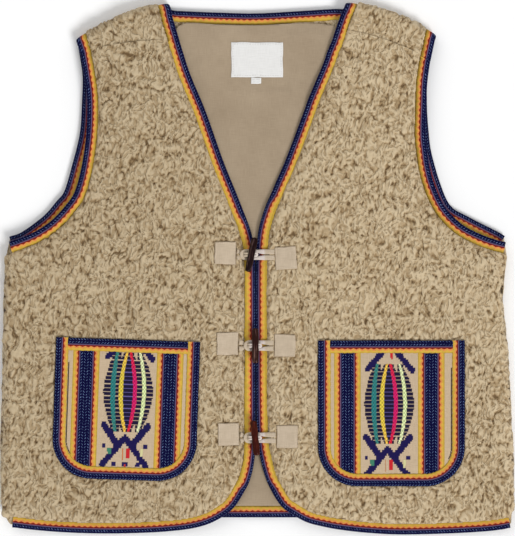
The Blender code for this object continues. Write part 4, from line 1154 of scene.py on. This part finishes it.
for number, (side, (x, y, width, height, turn)) in enumerate(POCKETS.items()):
    outline = pocket_edge(width, height, POCKET_RIBBON - 0.6)
    outline[[0, -1], 1] = height / 2 - POCKET_RIBBON + 0.6
    low_corner, high_corner = outline.min(axis=0), outline.max(axis=0)
    lines = [graded(((low - 0.2, 0), (high + 0.2, PANEL_STEP)))
             for low, high in zip(low_corner, high_corner)]
    bm, local = cut_cloth(outline, *lines)
    rim = np.clip(nearest(local, ringed(outline))[0] / 9, 0, 1)
    swell = 0.45 * smoothstep(rim) + 0.16 * soft_noise(local, 17, 91 + number) * rim
    points = turned(local, (x, y), turn)
    top = np.column_stack([points, POCKET_LOW + POCKET_THICK - 0.35 + swell])
    stand_up(bm, top, np.column_stack([points, np.full(len(points), POCKET_LOW)]))
    panel = to_piece(bm, "pocket-panel-" + side, swell)
    source = np.empty(len(panel.data.vertices), int)
    panel.data.attributes["pattern_point"].data.foreach_get("value", source)
    from_motif = local - MOTIF_MIDDLE[side]
    colours = motif(from_motif)
    # Painted shade: a dark line just inside the panel's rim on its outer side, where the gap under
    # the ribbon's edge lies in shadow.
    inset = nearest(local, ringed(outline))[0]
    outer_side = local[:, 0] < -40 if side == "left" else local[:, 0] > 40
    slit_shade = (np.abs(inset - SLIT_INSET) < SLIT_HALF) & outer_side
    slit_shade &= np.abs(local[:, 1]) < SLIT_REACH
    colours[slit_shade] = linear(26, 18, 16)
    colours = colours[source]
    panel.data.attributes.new("motif", "FLOAT_COLOR", "POINT").data.foreach_set(
        "color", colours.ravel())
    corner = np.empty(len(panel.data.loops), int)
    panel.data.loops.foreach_get("vertex_index", corner)
    panel.data.uv_layers.new(name="ribbon").data.foreach_set(
        "uv", ((local - (STRIPE_MIDDLE[side], 0))[source][corner] * MM).ravel())
    claim(panel, panel_cloth, "pattern", "pocket_" + side)

    outer = evened(pocket_edge(width, height), RIBBON_STEP)
    inner = outer + cloth_normals(outer) * POCKET_RIBBON
    waves = soft_noise(np.stack([np.arange(len(outer)) * RIBBON_STEP, np.zeros(len(outer))],
                                axis=1), 12, 95 + number)
    stations = trim_stations(turned(outer, (x, y), turn), turned(inner, (x, y), turn), waves)
    trim = strip("pocket-ribbon-" + side, stations, len(TRIM_SECTION))
    face_out(trim, lambda centre: centre.z > 0.0220)
    claim(trim, ribbon_cloth, "ribbon", "pocket_trim_" + side)

    half = width / 2 - POCKET_RIBBON + 0.4
    across = np.linspace(-half, half, round(2 * half / RIBBON_STEP) + 1)
    crest = np.column_stack([across, np.full(len(across), height / 2)])
    fold = crest + (0, -POCKET_RIBBON)
    stations = trim_stations(turned(crest, (x, y), turn), turned(fold, (x, y), turn),
                             waves[:len(across)])
    band = strip("pocket-band-" + side, stations, len(TRIM_SECTION))
    face_out(band, lambda centre: centre.z > 0.0220)
    claim(band, ribbon_cloth, "ribbon", "pocket_band_" + side)

# Closure patches
# Six squares of unbleached linen with turned-in edges, stitched flat onto the pile beside the
# front edges. Each holds the ends of a cloth loop.

PATCH_THICK = 1.8
linen_cloth, tree, shader, place = cloth_shader("linen", 0.88, 0.15)
thread, slub = woven(tree, place, 0.00085)
stitch = attribute(tree, "pile")
weathered = calc(tree, "ADD", calc(tree, "MULTIPLY", slub, 0.75),
                 calc(tree, "MULTIPLY", noise(tree, place, 120, 3.0), 0.4))
cloth_colour = blend_colour(tree, weathered, linear(166, 146, 120), linear(222, 204, 180))
tree.links.new(blend_colour(tree, calc(tree, "MULTIPLY", stitch, 0.2), cloth_colour,
                            linear(222, 208, 184)), shader.inputs["Base Color"])
add_bump(tree, shader, 0.6, 0.0003, calc(tree, "ADD", thread, calc(tree, "MULTIPLY", slub, 0.6)))


def pile_top(x):
    """Top of either front beside the centre edge, at a distance x from it."""
    rise = min(max((x - PILE_START) / (PILE_FULL - PILE_START), 0), 1)
    return FRONT_LOW + FRONT_EDGE_THICK + (FRONT_THICK - FRONT_EDGE_THICK) * rise


def sewn_square(name, centre, size, under, thick, seed, tilt=0.0, step=0.5):
    """A small sewn cloth piece with turned edges: its rim is rounded and stitched down."""
    half = np.array(size) / 2
    corners = np.array(((-1, -1), (1, -1), (1, 1), (-1, 1), (-1, -1))) * half
    rim_line = evened(corners, 1.0)[:-1]
    wander = soft_noise(rim_line + seed * 7, 6, seed) * 0.4
    rim_line = rim_line * (1 + wander[:, None] / half)
    bm, local = cut_cloth(rim_line, *[graded(((-reach - 0.6, 0), (reach + 0.6, step)))
                                      for reach in half])
    inset = nearest(local, ringed(rim_line))[0]
    points = turned(local, centre, tilt)
    rounded = np.sqrt(np.clip(1 - (1 - np.clip(inset / 1.1, 0, 1)) ** 2, 0, 1))
    seam = np.exp(-((inset - 2.0) / 0.55) ** 2)
    along = np.where(np.abs(local[:, 0]) / half[0] > np.abs(local[:, 1]) / half[1],
                     local[:, 1], local[:, 0])
    thread = (np.abs(inset - 2.0) < 0.45) * (np.mod(along, 2.8) < 1.8)
    height = thick * (0.35 + 0.65 * rounded) - 0.35 * thick / 1.8 * seam + 0.2 * thread
    height += thick * 0.07 * soft_noise(local, 5.5, seed + 1) * rounded
    base = under(points)
    stand_up(bm, np.column_stack([points, base + height]), np.column_stack([points, base]))
    return to_piece(bm, name, thread.astype(float))


def over_pile(points):
    return np.array([pile_top(abs(across)) for across in points[:, 0]]) + 2 * GAP


for number, (centre, tilt) in enumerate(zip(PATCH_CENTRES, (-1.0, 4.0, 0.5, -1.0, 1.0, 0.0))):
    side = ("left", "right")[number % 2]
    row = number // 2 + 1
    patch = sewn_square(f"patch-{side}-{row}", centre, (PATCH_WIDTH, PATCH_HEIGHT), over_pile,
                        PATCH_THICK, 101 + number, tilt)
    claim(patch, linen_cloth, "linen", f"patch_{side}_{row}")

# Closure loops
# Each closure has two cloth loops of two strands. The left one passes through its toggle's slot and
# ends in a pale knot, and the right one lies round the toggle's middle. Both stop at their patches.

# Each closure: y, toggle x, toggle turn in degrees, left patch x and y, right patch x and y
CLOSURES = (
    (14.6, -6.7, -12.0, -35.6, 16.4, 31.1, 11.0),
    (-85.2, -2.4, 0.0, -32.9, -83.1, 30.1, -85.1),
    (-186.4, -2.6, 6.0, -31.7, -182.5, 32.5, -185.2),
)
STRAND_HALF = 1.2
TOGGLE_Z = 22.8
LOOP_STEP = 0.7
RING = 17


def eased(rows, step):
    """Rows of a strand (x, y, z, half width) at even steps of its length, with bends rounded."""
    length = run_length(rows[:, :3])
    at = np.linspace(0, length[-1], round(length[-1] / step) + 1)
    path = np.stack([np.interp(at, length, rows[:, k]) for k in range(4)], axis=1)
    for _ in range(3):
        path[1:-1] = (path[:-2] + 2 * path[1:-1] + path[2:]) / 4
    return path


def swept_loop(name, rows, centre, mirror):
    """Two flat strands and the bend that joins them, swept from one strand's rows."""
    rows = np.array(rows, float)
    last = rows[-1]
    angles = np.pi * np.arange(1, 8) / 8
    bend = np.stack([last[0] + mirror * 0.8 * last[1] * np.sin(angles), last[1] * np.cos(angles),
                     np.full(7, last[2]), np.full(7, last[3])], axis=1)
    home = rows[::-1] * (1, -1, 1, 1)
    route = eased(np.vstack([rows, bend, home]), LOOP_STEP)
    run = np.gradient(route[:, :3], axis=0)
    run /= np.linalg.norm(run, axis=1)[:, None]
    side = np.cross(run, (0, 0, 1))
    side /= np.linalg.norm(side, axis=1)[:, None]
    up = np.cross(side, run)
    angle = np.linspace(0, 2 * np.pi, RING)
    wide, tall = (np.sign(wave) * np.abs(wave) ** 0.75 for wave in (np.cos(angle), np.sin(angle)))
    stations = []
    for k, (x, y, z, half) in enumerate(route):
        crimp = 1 + 0.05 * math.sin(k * 1.9)
        thick = STRAND_HALF * 0.95 * crimp
        ring = ((x, centre + y, z) + wide[:, None] * half * side[k] + tall[:, None] * thick * up[k])
        stations.append((ring, np.full(RING, k * LOOP_STEP), angle / (2 * np.pi) * 2 * half))
    return strip(name, stations, RING)


loop_cloth, tree, shader, place = cloth_shader("loop cloth", 0.85, 0.15)
thread, slub = woven(tree, node(tree, "ShaderNodeUVMap", uv_map="ribbon").outputs[0], 0.0007)
loop_colour = blend_colour(tree, calc(tree, "MULTIPLY", slub, 1.1), linear(166, 146, 120),
                           linear(222, 206, 184))
from_centre = calc(tree, "ABSOLUTE", node(tree, "ShaderNodeSeparateXYZ", {0: place}).outputs["X"])
knot = ranged(tree, from_centre, 0.0095, 0.0070)
tree.links.new(blend_colour(tree, calc(tree, "MULTIPLY", knot, 0.6), loop_colour,
                            linear(236, 226, 226)), shader.inputs["Base Color"])
add_bump(tree, shader, 0.6, 0.0003, thread)

for number, closure in enumerate(CLOSURES, 1):
    y, toggle_x, _, left_x, _, right_x, _ = closure
    low = FRONT_MIDDLE + RIBBON_HALF + GAP + STRAND_HALF
    start = left_x + PATCH_WIDTH / 2 + 1.2
    stem = (
        (start, 3.6, pile_top(-start) + 2 * GAP + STRAND_HALF + 0.2, 2.8),
        (toggle_x - 14.5, 3.3, low + 0.4, 2.6),
        (toggle_x - 12.2, 1.45, low, 1.2),
        (toggle_x - 9.4, 1.3, low + 0.2, 1.1),
        (toggle_x - 8.2, 1.3, low + 2.8, 1.1),
        (toggle_x - 7.2, 1.3, TOGGLE_Z - 0.6, 1.1),
        (toggle_x - 5.4, 1.3, TOGGLE_Z, 1.1),
        (toggle_x + 4.4, 1.3, TOGGLE_Z, 1.1),
        (toggle_x + 5.2, 1.6, TOGGLE_Z - 0.3, 1.3),
    )
    loop = swept_loop(f"loop-left-{number}", stem, y, 1)
    claim(loop, loop_cloth, "linen", f"loop_left_{number}")
    start = right_x - PATCH_WIDTH / 2 - 1.0
    around = (
        (start, 3.2, pile_top(start) + 2 * GAP + STRAND_HALF + 0.2, 2.8),
        (toggle_x + 14.0, 3.2, low + 0.4, 2.8),
        (toggle_x + 7.0, 3.7, low, 1.9),
        (toggle_x - 1.0, 4.2, low, 1.5),
        (toggle_x - 5.0, 4.2, low + 1.0, 1.9),
        (toggle_x - 7.6, 3.6, low + 2 * STRAND_HALF + GAP, 2.3),
    )
    loop = swept_loop(f"loop-right-{number}", around, y, -1)
    claim(loop, loop_cloth, "linen", f"loop_right_{number}")

# Toggles
# Three turned barrels of polished dark horn, each with a slot across its middle for the loop. The
# first is nearly black, the second has a grey-brown streak and the third is reddish brown.

TOGGLE_LENGTH = 39.0
TOGGLE_RADIUS = 3.9
TOGGLE_SLOT = (12.0, 6.8, 3.2)
# Barrel profile: share of its half length, share of its radius
BARREL = ((0.0, 1.0), (0.5, 0.97), (0.8, 0.9), (0.9, 0.84), (0.96, 0.72), (0.985, 0.5), (1.0, 0.0))
TOGGLE_TONES = (((24, 5, 7), (112, 84, 78)), ((40, 16, 12), (140, 108, 98)),
                ((56, 14, 6), (124, 54, 34)))


def toggle_place(x, y, z, closure):
    """A point of an upright toggle, in millimetres, turned and moved to its closure in metres."""
    closure_y, toggle_x, tilt = closure[:3]
    angle = math.radians(tilt)
    return ((x * math.cos(angle) - y * math.sin(angle) + toggle_x - MIDDLE[0]) * MM,
            (x * math.sin(angle) + y * math.cos(angle) + closure_y - MIDDLE[1]) * MM,
            (z + TOGGLE_Z) * MM)


for number, (closure, tones) in enumerate(zip(CLOSURES, TOGGLE_TONES), 1):
    horn, tree, shader, place = cloth_shader(f"dark horn {number}", 0.28, 0.0)
    shader.inputs["Specular IOR Level"].default_value = 0.1
    shader.inputs["Coat Weight"].default_value = 0.04
    shader.inputs["Coat Roughness"].default_value = 0.15
    drawn = node(tree, "ShaderNodeMapping", {"Vector": place, "Scale": (700, 60, 700)})
    streak = ranged(tree, noise(tree, drawn.outputs[0], 1.0, 3.0), 0.56, 0.78)
    tree.links.new(blend_colour(tree, streak, linear(*tones[0]), linear(*tones[1])),
                   shader.inputs["Base Color"])
    add_bump(tree, shader, 0.15, 0.0002, streak)

    bm = bmesh.new()
    bmesh.ops.create_uvsphere(bm, u_segments=36, v_segments=40, radius=1.0)
    for vert in bm.verts:
        turn = math.atan2(vert.co.y, vert.co.x)
        share = math.asin(max(-1.0, min(1.0, vert.co.z))) / (math.pi / 2)
        radius = np.interp(abs(share), [row[0] for row in BARREL], [row[1] for row in BARREL])
        radius *= TOGGLE_RADIUS * (1 + 0.012 * math.sin(3 * share + number))
        vert.co = (radius * math.cos(turn), share * TOGGLE_LENGTH / 2, -radius * math.sin(turn))
        vert.co = toggle_place(*vert.co, closure)
    bmesh.ops.recalc_face_normals(bm, faces=bm.faces[:])
    whole_mesh = bpy.data.meshes.new("toggle blank")
    bm.to_mesh(whole_mesh)
    bm.free()
    blank = bpy.data.objects.new("toggle blank", whole_mesh)
    bpy.context.collection.objects.link(blank)
    bm = bmesh.new()
    bmesh.ops.create_cube(bm, size=1.0)
    bmesh.ops.bevel(bm, geom=bm.edges[:] + bm.verts[:], offset=0.1, segments=3, profile=0.5,
                    affect="EDGES", material=-1)
    for vert in bm.verts:
        vert.co = toggle_place(*(part * size for part, size in zip(vert.co, TOGGLE_SLOT)), closure)
    cutter_mesh = bpy.data.meshes.new("slot cutter")
    bm.to_mesh(cutter_mesh)
    bm.free()
    cutter = bpy.data.objects.new("slot cutter", cutter_mesh)
    bpy.context.collection.objects.link(cutter)
    cut = blank.modifiers.new("slot", "BOOLEAN")
    cut.operation = "DIFFERENCE"
    cut.object = cutter
    cut.solver = "EXACT"
    seen = bpy.context.evaluated_depsgraph_get()
    mesh = bpy.data.meshes.new_from_object(blank.evaluated_get(seen))
    for spare in (blank, cutter):
        bpy.data.objects.remove(spare)
    mesh.materials.clear()
    toggle = bpy.data.objects.new(f"toggle-{number}", mesh)
    mesh.shade_smooth()
    bpy.context.collection.objects.link(toggle)
    claim(toggle, horn, "horn", f"toggle_{number}")

# Neck label
# A bare white satin label sewn flat inside the neck, and a small bare tab below it.

LABEL_BOX = (-29.0, 28.0, 210.0, 248.5)
TAB_BOX = (-7.2, 4.4, 202.8, 209.7)
LABEL_LOW = 10.1
LABEL_THICK = 0.8
satin, tree, shader, place = cloth_shader("white satin", 0.6, 0.1)
thread, slub = woven(tree, place, 0.0006)
stitch = attribute(tree, "pile")
white = blend_colour(tree, slub, linear(212, 211, 208), linear(246, 245, 243))
tree.links.new(blend_colour(tree, calc(tree, "MULTIPLY", stitch, 0.35), white,
                            linear(176, 172, 168)), shader.inputs["Base Color"])
add_bump(tree, shader, 0.35, 0.0002, thread)


def on_lining(points):
    return np.full(len(points), LABEL_LOW)


for name, box, node_name in (("neck-label", LABEL_BOX, "label"),
                             ("label-tab", TAB_BOX, "label_tab")):
    middle = ((box[0] + box[1]) / 2, (box[2] + box[3]) / 2)
    size = (box[1] - box[0], box[3] - box[2])
    label = sewn_square(name, middle, size, on_lining, LABEL_THICK, 131, step=0.6)
    claim(label, satin, "label", node_name)
